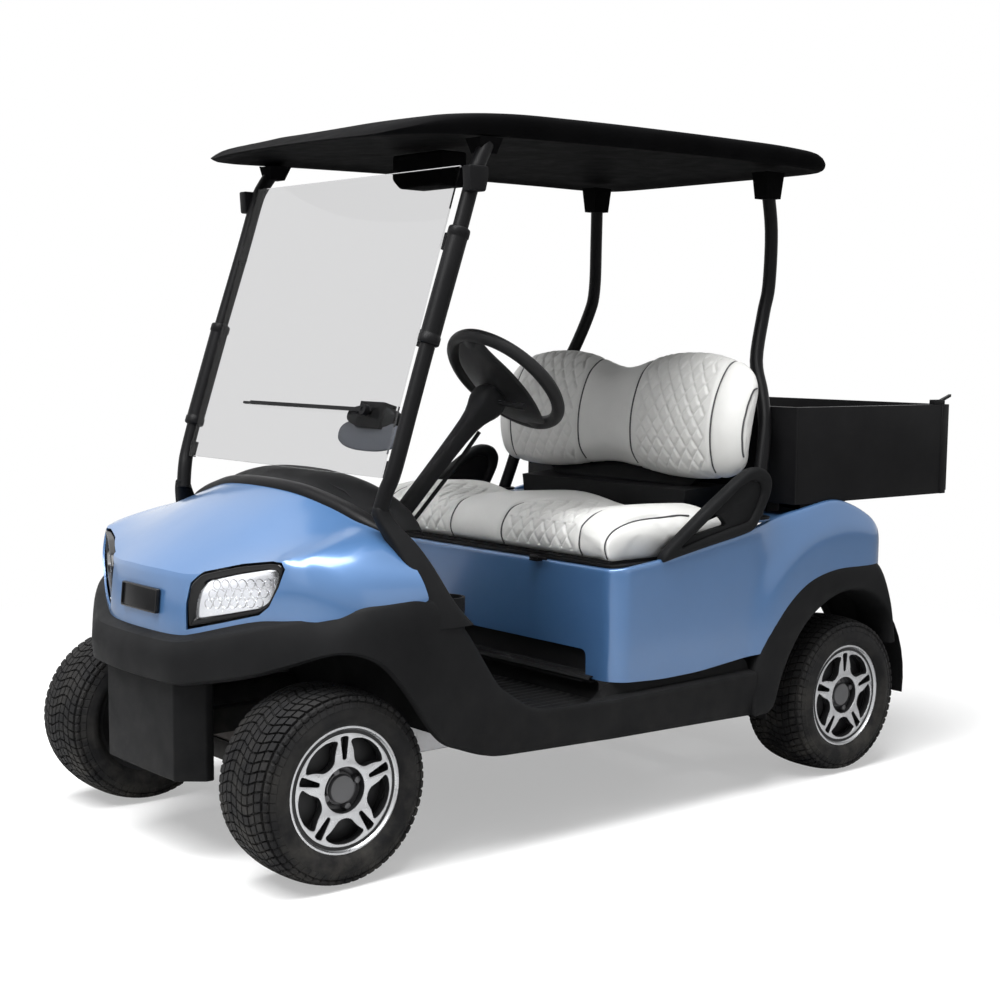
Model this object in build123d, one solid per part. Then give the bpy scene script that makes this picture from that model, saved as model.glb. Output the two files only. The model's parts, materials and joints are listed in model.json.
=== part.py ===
"""Two-seat electric golf cart with a hard canopy, folding-free windscreen and rear cargo box.

Millimetres.  +X is the driver's side (vehicle left), -Y the nose, +Z up.
Stations along Y are measured from the middle of the wheelbase; `save` moves every
piece so that the origin is under the middle of the whole length, on the floor.
"""
from build123d import *
import math
import os

# ---------------------------------------------------------------- driving dimensions
NOSE_Y = -1085.0            # foremost point of the bumper band
TAIL_Y = 1318.0             # rearmost point, the tailgate's latches
WHEELBASE = 1664.0
FRONT_TRACK = 898.0
REAR_TRACK = 980.0
FRONT_Y = -WHEELBASE / 2
REAR_Y = WHEELBASE / 2
GAP = 6.0                   # clearance between pieces that move past each other
RUNNING = 0.05              # radial running clearance of a shaft in its bore

# tyre and rim
TYRE_R = 221.0
TYRE_W = 210.0
BEAD_R = 130.0
BEAD_W = 164.0
SHOULDER_W = 178.0
CROWN_W = 120.0
LIP_R = 144.5
LIP_T = 7.0
BARREL_T = 7.0
FACE_X = 58.0               # rim face, outboard of the wheel's centre plane
FACE_T = 16.0
HUB_R = 34.0
HUB_INNER_X = -34.0
CAP_R = 27.0
CAP_T = 14.0
SPOKES = 5
SPINDLE_R = 15.0
WHEEL_Z = TYRE_R

# steering
KINGPIN_INSET = 79.0        # kingpin inboard of the wheel's centre plane
KINGPIN_X = FRONT_TRACK / 2 - KINGPIN_INSET
KINGPIN_R = 10.0
YOKE_HALF = 48.0            # half the height between the yoke's plates
YOKE_T = 12.0
YOKE_W = 44.0
BEAM_H = 50.0
BEAM_W = 54.0
BOSS_R = 19.0
ARM_BACK = 80.0             # track-rod ball behind the kingpin
ARM_Z = WHEEL_Z - 36.0
BALL_R = 12.0
BALL_H = 14.0
TIE_R = 8.0
WHEEL_RAKE = 44.0           # steering wheel's axis from the vertical, degrees
HELM_X = 270.0
HELM_Y = -170.0
HELM_Z = 1106.0
HELM_R = 159.0
HELM_RIM_R = 14.0
COLUMN_R = 27.0
COLUMN_FOOT = (-506.0, 760.0)       # y, z where the column leaves the dash

# chassis
RAIL_X = 330.0
RAIL_W = 40.0
RAIL_Z = 215.0
RAIL_H = 70.0
RAIL_FRONT_Y = FRONT_Y + 332.0
RAIL_REAR_Y = REAR_Y - 312.0
CROSS_W = 60.0
FRONT_RAIL_X = 120.0
FRONT_RAIL_H = 60.0
FRONT_RAIL_Y = NOSE_Y + 85.0
REAR_RAIL_Y = REAR_Y + 128.0
REAR_RAIL_FRONT_Y = REAR_Y - 392.0
REAR_RAIL_H = 60.0
FRONT_RAIL_LAP = 14.0       # how far the front rails reach over the cross member
CROSSBAR_T = 10.0
RAIL_TOP = RAIL_Z + RAIL_H
AXLE_TUBE_R = 30.0
DIFF_R = 88.0
DIFF_FLAT = 80.0
DIFF_W = 220.0
MOTOR_AHEAD = 72.0          # motor's axis ahead of the rear axle
MOTOR_R = 84.0
MOTOR_L = 210.0
LEAF_W = 46.0
LEAF_T = 9.0
SPRING_EYE = 330.0          # front end of the rear leaf ahead of the axle
HITCH_HOLE_R = 5.5
HITCH_SPACING_X = 150.0
HITCH_SPACING_Z = 34.0

# floor, sills and body
BODY_X = 580.0              # half width over the body sides
PANEL_T = 8.0
FLOOR_X = 500.0
FLOOR_Z = RAIL_TOP + 5.0
FLOOR_T = 12.0
FLOOR_TOP = FLOOR_Z + FLOOR_T
TOE_Y = RAIL_FRONT_Y - 40.0
TOE_TOP_Y = TOE_Y - 100.0   # top edge of the toe board
TOE_TOP_Z = 596.0
KICK_X = 470.0              # half width of the recess below the seat front
KICK_SET = 22.0             # the riser's face behind the body's front wall
LEDGE_Z = 368.0
LEDGE_W = 34.0
KICK_Y = -65.0
KICK_HEM_Z = 437.0
SILL_X = 596.0              # widest line of the sills
SILL_TOP = 331.0
BODY_HEM_Z = 366.0          # lower edge of the painted body at its front corner
BODY_REAR_Y = REAR_Y + 168.0
SEAT_EDGE_Z = 647.0         # top of the body's front wall
DECK_Y = 430.0              # the deck behind the seat starts here
DECK_Z = 740.0
DECK_REAR_Y = BODY_REAR_Y - 78.0
BODY_CORNER_R = 55.0
ARCH_R = 322.0              # rear wheel opening in the body panel
BATTERY = (720.0, 340.0, 235.0)
BATTERY_Y = 40.0            # its front face

# windscreen and canopy
CANOPY_TOP = 1745.0
GLASS_T = 5.0
GLASS_LOW = (440.0, -666.0, 892.0)
GLASS_TOP = (440.0, -446.0, CANOPY_TOP - 147.0)
GLASS_RUN = math.dist(GLASS_LOW[1:], GLASS_TOP[1:])     # height measured up the glass
CLIP_SPOTS = (20.0, 330.0, 560.0)                       # distances of the clamps up the glass
STRUT_R = 19.0
WIPER_HUB = (330.0, 150.0)  # x, distance up the glass
WIPER_REACH = 500.0
WIPER_OFF = GAP + GLASS_T
WIPER_PIN_R = 6.0
SPINDLE_HOLE_R = 7.0
CANOPY_X = 492.0
CANOPY_REAR_Y = 856.0
CANOPY_FRONT_Y = -690.0
CANOPY_CORNER_Y = -575.0

# seats
SEAT_X = 548.0
SEAT_FRONT_Y = KICK_Y + 12.0
SEAT_REAR_Y = 384.0
PAN_Z = 652.0               # underside of the cushion's base
PAN_T = 12.0
BACK_X = 522.0

# cargo box
BOX_X = 560.0
BOX_FRONT_Y = 612.0
BOX_REAR_Y = 1292.0
BOX_Z = 772.0
BOX_TOP = 1036.0
SHEET_T = 5.0
BOX_RIM = 22.0
GATE_T = 14.0
GATE_PIN_R = 4.0
GATE_HINGE_X = 400.0

ORIGIN_SHIFT = -(NOSE_Y + TAIL_Y) / 2
SIDES = (("left", 1), ("right", -1))


# ---------------------------------------------------------------- helpers
def save(name, part):
    """Write one node, moved from mid-wheelbase stations to the part's own origin."""
    export_step(Location((0, ORIGIN_SHIFT, 0)) * part, f"parts/{name}.step")


def box(low, high):
    """Box between two corners."""
    size = [b - a for a, b in zip(low, high)]
    middle = [(a + b) / 2 for a, b in zip(low, high)]
    return Location(middle) * Box(*size)


def along_x(points, start, end):
    """Prism of a side outline, points (y, z), from x = start to x = end."""
    face = make_face(Plane.YZ.offset(start) * Polyline(*points, close=True))
    return extrude(face, amount=end - start, dir=(1, 0, 0))


def along_y(points, start, end):
    """Prism of a front outline, points (x, z), from y = start to y = end."""
    face = make_face(Plane.XZ.offset(-start) * Polyline(*points, close=True))
    return extrude(face, amount=end - start, dir=(0, 1, 0))


def along_z(points, start, end):
    """Prism of a plan outline, points (x, y), from z = start to z = end."""
    face = make_face(Plane.XY.offset(start) * Polyline(*points, close=True))
    return extrude(face, amount=end - start, dir=(0, 0, 1))


def rod(start, end, radius):
    """Straight round bar between two points."""
    run = Vector(*end) - Vector(*start)
    plane = Plane(origin=start, z_dir=run)
    return plane * Cylinder(radius, run.length, align=(Align.CENTER, Align.CENTER, Align.MIN))


def tube(points, radius, bend):
    """Round bar along straight runs joined by arcs of one bend radius."""
    path = FilletPolyline(*points, radius=bend)
    return sweep(Plane(origin=path @ 0, z_dir=path % 0) * Circle(radius), path=path)


def turned(points, origin, axis=(1, 0, 0)):
    """Solid of revolution of (along the axis, radius) points about an axis through origin."""
    face = make_face(Polyline(*points, close=True))
    part = revolve(face, axis=Axis.X)
    direction = Vector(*axis)
    plane = Plane(origin=origin, x_dir=direction, z_dir=direction.cross(Vector(0, 0, 1)))
    return plane * part


def both_sides(part):
    """The piece and its mirror image across the middle, as one node."""
    return part + mirror(part, about=Plane.YZ)


def mirrored_outline(half):
    """Close a half outline, listed from the front centre round to the back, across x = 0."""
    return list(half) + [(-x, y) for x, y in reversed(half)]


# ---------------------------------------------------------------- wheels and axles
def tyre(side):
    """Tyre about the X axis with its centre plane at x = 0, outer side towards side * X."""
    bead = BEAD_W / 2
    half = [(bead, BEAD_R), (bead, LIP_R - 3), (bead + LIP_T, LIP_R), (bead + LIP_T + 8, LIP_R + 4),
            (TYRE_W / 2, TYRE_R - 46), (TYRE_W / 2 - 2, TYRE_R - 26), (SHOULDER_W / 2, TYRE_R - 7),
            (CROWN_W / 2, TYRE_R)]
    section = half + [(-x, r) for x, r in reversed(half)]
    return turned(section, (0, 0, 0), (side, 0, 0))


def spoke_window(inner, outer, half_inner, half_outer, angle):
    """One opening of the rim's face as a plan outline (y, z), about the hub."""
    corners = [(inner, -half_inner), (outer, -half_outer), (outer, half_outer), (inner, half_inner)]
    c, s = math.cos(angle), math.sin(angle)
    return [(r * c - t * s, r * s + t * c) for r, t in corners]


def rim(side):
    """Cast rim: barrel with two lips, spoked face, hub tube and centre cap."""
    bead = BEAD_W / 2
    barrel = turned([(-bead - LIP_T, BEAD_R - BARREL_T), (bead + LIP_T, BEAD_R - BARREL_T),
                     (bead + LIP_T, LIP_R), (bead, LIP_R - 3), (bead, BEAD_R),
                     (-bead, BEAD_R), (-bead, LIP_R - 3), (-bead - LIP_T, LIP_R)], (0, 0, 0))
    face = turned([(FACE_X, 0), (FACE_X + FACE_T, 0), (FACE_X + FACE_T, BEAD_R - BARREL_T),
                   (FACE_X, BEAD_R - BARREL_T)], (0, 0, 0))
    for index in range(SPOKES):
        middle = math.radians(90 + 360 / SPOKES * index)
        wide = spoke_window(58, 114, 15, 35, middle)
        slim = spoke_window(66, 114, 5, 14, middle + math.pi / SPOKES)
        face -= along_x(wide, FACE_X - 1, FACE_X + FACE_T + 1)
        face -= along_x(slim, FACE_X - 1, FACE_X + FACE_T + 1)
    hub = turned([(HUB_INNER_X, SPINDLE_R + RUNNING), (HUB_INNER_X, HUB_R), (FACE_X + FACE_T, HUB_R),
                  (FACE_X + FACE_T, CAP_R), (FACE_X + FACE_T + CAP_T, CAP_R - 4),
                  (FACE_X + FACE_T + CAP_T, 0), (FACE_X + 6, 0),
                  (FACE_X + 6, SPINDLE_R + RUNNING)], (0, 0, 0))
    bore = rod((HUB_INNER_X - 1, 0, 0), (FACE_X + 6, 0, 0), SPINDLE_R + RUNNING)
    part = barrel + (face - bore) + hub
    return part if side > 0 else mirror(part, about=Plane.YZ)


WHEELS = (  # axle name, half track, station
    ("front", FRONT_TRACK / 2, FRONT_Y),
    ("rear", REAR_TRACK / 2, REAR_Y),
)


def wheels():
    """Tyre and rim at each corner."""
    for axle, half_track, station in WHEELS:
        for name, side in SIDES:
            spot = Location((side * half_track, station, WHEEL_Z))
            save(f"{axle}_tyre_{name}", spot * tyre(side))
            save(f"{axle}_rim_{name}", spot * rim(side))


def front_axle():
    """Beam with a yoke at each end that holds the kingpin."""
    reach = KINGPIN_X - YOKE_W / 2 - 16
    beam = box((-reach, FRONT_Y - BEAM_W / 2, WHEEL_Z - BEAM_H / 2),
               (reach, FRONT_Y + BEAM_W / 2, WHEEL_Z + BEAM_H / 2))
    web = box((reach - 14, FRONT_Y - YOKE_W / 2, WHEEL_Z - YOKE_HALF - YOKE_T),
              (reach, FRONT_Y + YOKE_W / 2, WHEEL_Z + YOKE_HALF + YOKE_T))
    yoke = web
    for level in (-1, 1):
        low = WHEEL_Z + level * YOKE_HALF
        high = low + level * YOKE_T
        yoke += box((reach, FRONT_Y - YOKE_W / 2, min(low, high)),
                    (KINGPIN_X + YOKE_W / 2, FRONT_Y + YOKE_W / 2, max(low, high)))
    pin = rod((KINGPIN_X, FRONT_Y, WHEEL_Z - YOKE_HALF), (KINGPIN_X, FRONT_Y, WHEEL_Z + YOKE_HALF),
              KINGPIN_R)
    return beam + both_sides(yoke + pin)


def knuckle():
    """Left knuckle: boss on the kingpin, spindle for the wheel and arm for the track rod."""
    half = YOKE_HALF - 1
    boss = rod((KINGPIN_X, FRONT_Y, WHEEL_Z - half), (KINGPIN_X, FRONT_Y, WHEEL_Z + half), BOSS_R)
    wheel_x = FRONT_TRACK / 2
    flange = rod((KINGPIN_X, FRONT_Y, WHEEL_Z), (wheel_x + HUB_INNER_X - 2, FRONT_Y, WHEEL_Z),
                 SPINDLE_R + 10)
    spindle = rod((KINGPIN_X, FRONT_Y, WHEEL_Z), (wheel_x + FACE_X + 4, FRONT_Y, WHEEL_Z), SPINDLE_R)
    arm = along_z([(KINGPIN_X - 14, FRONT_Y + 8), (KINGPIN_X + 14, FRONT_Y + 8),
                   (KINGPIN_X + 11, FRONT_Y + ARM_BACK), (KINGPIN_X - 11, FRONT_Y + ARM_BACK)],
                  ARM_Z - 6, ARM_Z + 6)
    ball = (KINGPIN_X, FRONT_Y + ARM_BACK)
    socket = rod((*ball, ARM_Z - 8), (*ball, ARM_Z + BALL_H), BALL_R)
    part = boss + flange + spindle + arm + socket
    bore = rod((KINGPIN_X, FRONT_Y, WHEEL_Z - YOKE_HALF - 1),
               (KINGPIN_X, FRONT_Y, WHEEL_Z + YOKE_HALF + 1), KINGPIN_R + RUNNING)
    return part - bore


def tie_rod():
    """Track rod between the knuckles' ball joints, resting just clear of them."""
    station = FRONT_Y + ARM_BACK
    low = ARM_Z + BALL_H + 1
    part = rod((-KINGPIN_X, station, low + TIE_R), (KINGPIN_X, station, low + TIE_R), TIE_R)
    for side in (-1, 1):
        part += rod((side * KINGPIN_X, station, low), (side * KINGPIN_X, station, low + 2 * TIE_R + 3),
                    BALL_R)
    return part


def rear_axle():
    """Axle tube with its differential and the stub that each rear wheel turns on."""
    wheel_x = REAR_TRACK / 2
    shoulder = wheel_x + HUB_INNER_X - 2
    end = wheel_x + FACE_X + 4
    half = [(DIFF_FLAT / 2, DIFF_R), (DIFF_W / 2, AXLE_TUBE_R), (shoulder, AXLE_TUBE_R),
            (shoulder, SPINDLE_R), (end, SPINDLE_R), (end, 0)]
    return turned([(-x, r) for x, r in reversed(half)] + half, (0, REAR_Y, WHEEL_Z))


def drive_motor():
    """Electric motor behind the differential, lying across the cart, on a short casting."""
    start = DIFF_FLAT / 2 - 10
    station = REAR_Y - MOTOR_AHEAD
    body = rod((start, station, WHEEL_Z + 12), (start + MOTOR_L, station, WHEEL_Z + 12), MOTOR_R)
    return body - rear_axle()


# ---------------------------------------------------------------- chassis
def side_rails():
    """Long rails, each with the raised length that passes over the rear axle."""
    half = RAIL_W / 2
    low = box((RAIL_X - half, RAIL_FRONT_Y, RAIL_Z), (RAIL_X + half, RAIL_REAR_Y, RAIL_TOP))
    high = box((RAIL_X - half, REAR_RAIL_FRONT_Y, RAIL_TOP),
               (RAIL_X + half, REAR_RAIL_Y, RAIL_TOP + REAR_RAIL_H))
    return both_sides(low + high)


def front_rails():
    """Short rails ahead of the front cross member, standing on it."""
    half = RAIL_W / 2
    rail = box((FRONT_RAIL_X - half, FRONT_RAIL_Y, RAIL_TOP),
               (FRONT_RAIL_X + half, RAIL_FRONT_Y - CROSS_W + FRONT_RAIL_LAP, RAIL_TOP + FRONT_RAIL_H))
    return both_sides(rail)


def cross_members():
    """Beams between the rails; the front one caps the rails' ends, the rear one takes a hitch."""
    reach = RAIL_X - RAIL_W / 2
    wide = RAIL_X + RAIL_W / 2
    part = box((-wide, RAIL_FRONT_Y - CROSS_W, RAIL_Z), (wide, RAIL_FRONT_Y, RAIL_TOP))
    for station in (BATTERY_Y + BATTERY[1] / 2 - CROSS_W / 2, RAIL_REAR_Y - CROSS_W):
        part += box((-reach, station, RAIL_Z + 10), (reach, station + CROSS_W, RAIL_TOP - 10))
    return part


def rear_crossbar():
    """Plate across the rear rails' ends, drilled with four holes for a hitch or bumper."""
    wide = RAIL_X + RAIL_W / 2
    part = box((-wide, REAR_RAIL_Y, RAIL_TOP - 4),
               (wide, REAR_RAIL_Y + CROSSBAR_T, RAIL_TOP + REAR_RAIL_H + 4))
    middle = RAIL_TOP + REAR_RAIL_H / 2
    for x in (-HITCH_SPACING_X / 2, HITCH_SPACING_X / 2):
        for z in (middle - HITCH_SPACING_Z / 2, middle + HITCH_SPACING_Z / 2):
            part -= rod((x, REAR_RAIL_Y - 1, z), (x, REAR_RAIL_Y + CROSSBAR_T + 1, z), HITCH_HOLE_R)
    return part


def leaf_springs():
    """Transverse pack over the front beam, and a pack under each end of the rear axle."""
    base = WHEEL_Z + BEAM_H / 2
    half = LEAF_W / 2
    leaves = (230.0, 190.0, 150.0)
    front = None
    for step, reach in enumerate(leaves):
        low = base + LEAF_T * step
        leaf = box((-reach, FRONT_Y - half, low), (reach, FRONT_Y + half, low + LEAF_T))
        front = leaf if front is None else front + leaf
    seat = base + LEAF_T * len(leaves)
    saddle = FRONT_RAIL_X + RAIL_W / 2
    front += box((-saddle, FRONT_Y - half, seat), (saddle, FRONT_Y + half, RAIL_TOP))
    top = WHEEL_Z - AXLE_TUBE_R
    outline = [(REAR_Y - SPRING_EYE, RAIL_Z - LEAF_T), (REAR_Y - 60, top - LEAF_T),
               (REAR_Y + 60, top - LEAF_T), (REAR_Y + 118, top - 4), (REAR_Y + 118, top + 5),
               (REAR_Y + 60, top), (REAR_Y - 60, top), (REAR_Y - SPRING_EYE, RAIL_Z)]
    rear = along_x(outline, RAIL_X - half, RAIL_X + half)
    rear += box((RAIL_X - half, REAR_Y - 120, top - 2 * LEAF_T),
                (RAIL_X + half, REAR_Y + 60, top - LEAF_T))
    rear += box((RAIL_X - 8, REAR_Y + 100, top), (RAIL_X + 8, REAR_Y + 118, RAIL_TOP))
    return front + both_sides(rear)


def battery_pack():
    """Battery pack as one block on the rails, under the seat."""
    wide, deep, high = BATTERY
    return box((-wide / 2, BATTERY_Y, RAIL_TOP), (wide / 2, BATTERY_Y + deep, RAIL_TOP + high))


# ---------------------------------------------------------------- floor and sills
def floor_tray():
    """Floor plate with the toe board at its front and the seat riser at its back."""
    riser_y = KICK_Y + KICK_SET
    outline = [(TOE_Y, FLOOR_Z), (riser_y + FLOOR_T, FLOOR_Z), (riser_y + FLOOR_T, KICK_HEM_Z + 10),
               (riser_y, KICK_HEM_Z + 10), (riser_y, LEDGE_Z), (riser_y - LEDGE_W, LEDGE_Z),
               (riser_y - LEDGE_W, LEDGE_Z - FLOOR_T), (riser_y, LEDGE_Z - FLOOR_T), (riser_y, FLOOR_TOP),
               (TOE_Y + 8, FLOOR_TOP), (TOE_TOP_Y, TOE_TOP_Z), (TOE_TOP_Y - FLOOR_T, TOE_TOP_Z)]
    part = along_x(outline, -FLOOR_X, FLOOR_X)
    for side in (-1, 1):
        edge = sorted((side * KICK_X, side * (FLOOR_X + 1)))
        part -= box((edge[0], riser_y - LEDGE_W - 1, FLOOR_TOP), (edge[1], riser_y + 60, KICK_HEM_Z + 20))
    return part - front_rails()


SILL_REAR_Y = REAR_Y - 402.0
SILL = [  # y, z of the sill's side outline
    (TOE_Y, 268), (-450, 243), (-300, 238), (SILL_REAR_Y, 219), (SILL_REAR_Y, SILL_TOP + 6),
    (KICK_Y - 5, SILL_TOP), (-290, SILL_TOP + 8), (-350, 352), (-400, 386), (-437, 432), (-470, 420),
]
SILL_UNDERCUT = 20.0


def sill():
    """Left sill: rounded under, with an upstand that the painted body stands over."""
    outer = along_x(SILL, FLOOR_X, SILL_X)
    outer -= along_y([(SILL_X + 1, 322), (SILL_X + 1, 150), (SILL_X - SILL_UNDERCUT, 150),
                      (SILL_X - SILL_UNDERCUT, 230)], -600, 500)
    outer -= along_y([(FLOOR_X - 1, FLOOR_TOP + 4), (FLOOR_X + 24, FLOOR_TOP + 20), (FLOOR_X + 56, 380),
                      (FLOOR_X + 30, 460), (FLOOR_X - 1, 460)], -600, KICK_Y)
    upstand = box((FLOOR_X + 20, KICK_Y, SILL_TOP - 30),
                  (BODY_X - PANEL_T - 10, SILL_REAR_Y, BODY_HEM_Z + 14))
    return outer + upstand - pillar()


# ---------------------------------------------------------------- front end
BAND_PLAN = [  # x, y of the bumper's widest line, from the front centre to the rear
    (0, NOSE_Y), (110, NOSE_Y + 8), (229, -1058), (400, -963), (545, -856), (BODY_X - 2, -780),
    (BODY_X - 2, -600),
]
BAND_LEVELS = [  # height at the nose, rise per mm of station, how far in from the widest line
    (420, 0.20, 20),
    (494, 0.20, 0),
    (548, 0.13, 36),
]


def inset(points, depth):
    """Move an open plan outline in towards the vehicle's middle by depth, edge by edge."""
    edges = []
    for (xa, ya), (xb, yb) in zip(points, points[1:]):
        length = math.hypot(xb - xa, yb - ya)
        normal = (-(yb - ya) / length, (xb - xa) / length)
        edges.append(((xa, ya), (xb - xa, yb - ya), normal))
    moved = []
    for index, point in enumerate(points):
        if index == 0:
            normal = edges[0][2]
            y = point[1] + depth / normal[1]
            moved.append((0, y))
        elif index == len(points) - 1:
            normal = edges[-1][2]
            moved.append((point[0] + depth * normal[0], point[1]))
        else:
            (na, nb) = edges[index - 1][2], edges[index][2]
            scale = depth / (1 + na[0] * nb[0] + na[1] * nb[1])
            moved.append((point[0] + scale * (na[0] + nb[0]), point[1] + scale * (na[1] + nb[1])))
    return moved


def band_face(level, extra, lift=0.0):
    """Plan face of the bumper band at one level, drawn in by its inset plus extra."""
    height, rise, depth = level
    half = inset(BAND_PLAN, depth + extra)
    plan = half + [(-x, y) for x, y in reversed(half[1:])]
    points = [(x, y, height + rise * (y - NOSE_Y) + lift) for x, y in plan]
    return make_face(Polyline(*points, close=True))


FRONT_ARCH = [  # y, z of the opening over the front wheel, from the nose back
    (-1120, 300), (-1120, 418), (-1040, 436), (-963, 474), (-905, 512), (-867, 535), (-815, 533),
    (-763, 497), (-682, 408), (-627, 332), (-600, 300),
]


def bumper_band():
    """Dark bumper that wraps round the nose and runs back over the front wheels."""
    outer = loft([band_face(level, 0) for level in BAND_LEVELS], ruled=True)
    lifts = (-30, 0, 30)
    inner = loft([band_face(level, PANEL_T, lift) for level, lift in zip(BAND_LEVELS, lifts)],
                 ruled=True)
    arch = along_x(FRONT_ARCH, -BODY_X - 5, BODY_X + 5)
    return outer - inner - arch


COWL_SECTIONS = [  # station, centre z, ridge x, ridge z, shoulder x, shoulder z, hem x, hem z
    (-1022, 672, 150, 671, 181, 666, 179, 550),
    (-915, 756, 236, 744, 446, 726, 452, 566),
    (-800, 832, 316, 798, 466, 736, 548, 580),
    (-640, 884, 350, 842, 456, 744, 566, 600),
]


def cowl_face(row, depth, drop):
    """One transverse face of the front cowl, drawn in by depth, its hem lowered by drop."""
    station, centre, ridge_x, ridge_z, shoulder_x, shoulder_z, hem_x, hem_z = row
    half = [(0, centre - depth), (ridge_x - depth / 2, ridge_z - depth),
            (shoulder_x - depth, shoulder_z - depth / 2), (hem_x - depth, hem_z - drop)]
    profile = half + [(-x, z) for x, z in reversed(half[1:])]
    return make_face(Polyline(*[(x, station, z) for x, z in profile], close=True))


def cowl_solid(depth, drop, front):
    """Hood as a solid block, drawn in by depth, with its front face moved back."""
    rows = [(row[0] + (front if index == 0 else 0), *row[1:])
            for index, row in enumerate(COWL_SECTIONS)]
    return loft([cowl_face(row, depth, drop) for row in rows], ruled=True)


BROW = [  # x, station of the line where the dark cowl top meets the painted hood
    (0, -765), (170, -748), (330, -700), (440, -652),
]


def brow_zone(grow):
    """Plan prism of everything behind the brow line."""
    half = [(x + grow if index else 0, y - grow) for index, (x, y) in enumerate(BROW)]
    half += [(560, -600), (560, -500)]
    plan = half + [(-x, y) for x, y in reversed(half[1:])]
    return along_z(plan, 600, 1000)


def front_cowl():
    """Painted hood and nose: one hollow moulding, open below and behind."""
    shell = cowl_solid(0, 0, 0) - cowl_solid(PANEL_T, 30, PANEL_T)
    shell -= brow_zone(0)
    for _, side in SIDES:
        shell -= lamp_prism(side, LAMP_OUTLINE, -LAMP_DEPTH, 40)
    return shell - both_sides(pillar())


LAMP_OUTLINE = [  # distance along the slanted face from the nose corner, z
    (14, 562), (50, 656), (236, 702), (252, 694), (254, 654), (206, 590),
]
LAMP_DEPTH = 60.0
LAMP_PROUD = 5.0
LAMP_RIM = 13.0
LENS_T = 4.0
LENS_SINK = 6.0


def lamp_prism(side, outline, back, front):
    """Prism on the slanted face beside the nose, from back to front along its normal."""
    corner = Vector(COWL_SECTIONS[0][4], COWL_SECTIONS[0][0], 0)
    shoulder = Vector(COWL_SECTIONS[1][4], COWL_SECTIONS[1][0], 0)
    run = (shoulder - corner).normalized()
    plane = Plane(origin=corner, x_dir=run, z_dir=run.cross(Vector(0, 0, 1)))
    face = make_face(plane.offset(back) * Polyline(*outline, close=True))
    part = extrude(face, amount=front - back, dir=plane.z_dir)
    return part if side > 0 else mirror(part, about=Plane.YZ)


def shrink(outline, margin):
    """Outline drawn in towards its centre by a margin."""
    cx = sum(x for x, _ in outline) / len(outline)
    cz = sum(z for _, z in outline) / len(outline)
    scale_x = 1 - margin / max(abs(x - cx) for x, _ in outline)
    scale_z = 1 - margin / max(abs(z - cz) for _, z in outline)
    return [(cx + (x - cx) * scale_x, cz + (z - cz) * scale_z) for x, z in outline]


def headlamps():
    """Housing and lens of each headlamp, set into the slanted faces of the hood."""
    inner = shrink(LAMP_OUTLINE, LAMP_RIM)
    for name, side in SIDES:
        housing = lamp_prism(side, LAMP_OUTLINE, -LAMP_DEPTH, LAMP_PROUD)
        housing -= lamp_prism(side, inner, -LAMP_DEPTH + 20, LAMP_PROUD + 1)
        lens = lamp_prism(side, inner, LAMP_PROUD - LENS_SINK - LENS_T, LAMP_PROUD - LENS_SINK)
        save(f"headlamp_{name}", housing)
        save(f"headlamp_lens_{name}", lens)


COWL_ARCH = [  # x, z of half the dark cowl's section, from its foot to the centre
    (462, 700), (458, 770), (400, 820), (300, 856), (170, 880), (0, 890),
]
DASH_X = 404.0


def cowl_top():
    """Dark cowl between the hood's brow and the dash, arched across the cart."""
    outline = COWL_ARCH + [(-x, z) for x, z in reversed(COWL_ARCH[:-1])]
    inner_arch = [(x - PANEL_T, z - PANEL_T) for x, z in COWL_ARCH]
    inner_arch[0] = (inner_arch[0][0], COWL_ARCH[0][1] - 10)
    inner_arch[-1] = (0, inner_arch[-1][1])
    inner = inner_arch + [(-x, z) for x, z in reversed(inner_arch[:-1])]
    front_y, back_y = -800.0, -560.0
    part = along_y(outline, front_y, back_y) - along_y(inner, front_y - 1, back_y + 1)
    return (part & brow_zone(0)) - cowl_solid(0, 0, 0) - both_sides(pillar()) - both_sides(front_strut())


def dash():
    """Dash across the cockpit, with a pocket each side of the column."""
    outline = [(-600, 610), (-560, 640), (-528, 700), (-522, 838), (-560, 862), (-640, 862), (-660, 640)]
    part = along_x(outline, -DASH_X, DASH_X)
    for low, high in ((-410, -60), (60, 190)):
        part -= along_x([(-500, 730), (-500, 826), (-600, 822), (-600, 742)], low, high)
    inside = [(x - PANEL_T, z - PANEL_T) for x, z in COWL_ARCH]
    inside[0] = (inside[0][0], 590)
    inside += [(-x, z) for x, z in reversed(inside[:-1])]
    return (part & along_y(inside, -800, -500)) - floor_tray() - cowl_solid(0, 0, 0)


PILLAR_LOW = [  # y, z of the pillar's lower, outer skin
    (-700, 500), (-682, 410), (-627, 334), (-540, 268), (-437, 376), (-440, 440), (-483, 528),
    (-524, 582), (-640, 582),
]
PILLAR_RINGS = [  # z, x low, x high, y front, y back
    (582, 508, 572, -636, -524),
    (700, 462, 524, -676, -590),
    (812, 414, 468, -716, -662),
]


def pillar():
    """Left pillar: outer skin behind the front wheel and a tapering upper part to the strut."""
    band = loft([band_face(level, 0) for level in BAND_LEVELS], ruled=True)
    low = along_x(PILLAR_LOW, BODY_X - 40, BODY_X) - band
    faces = []
    for z, x_low, x_high, y_front, y_back in PILLAR_RINGS:
        plan = [(x_low, y_front), (x_high, y_front), (x_high, y_back), (x_low, y_back)]
        faces.append(make_face(Plane.XY.offset(z) * Polyline(*plan, close=True)))
    return low + (loft(faces, ruled=True) - band) - front_strut()


def front_fascia():
    """Dark box below the bumper that covers the frame's nose."""
    outer_plan = [(0, -1047), (162, -1045), (210, -988), (210, -968)]
    inner_plan = [(0, -1039), (157, -1037), (202, -984), (202, -960)]
    outer = along_z(mirrored_outline(outer_plan), 196, 424)
    inner = along_z(mirrored_outline(inner_plan), 204, 416)
    return outer - inner


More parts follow.
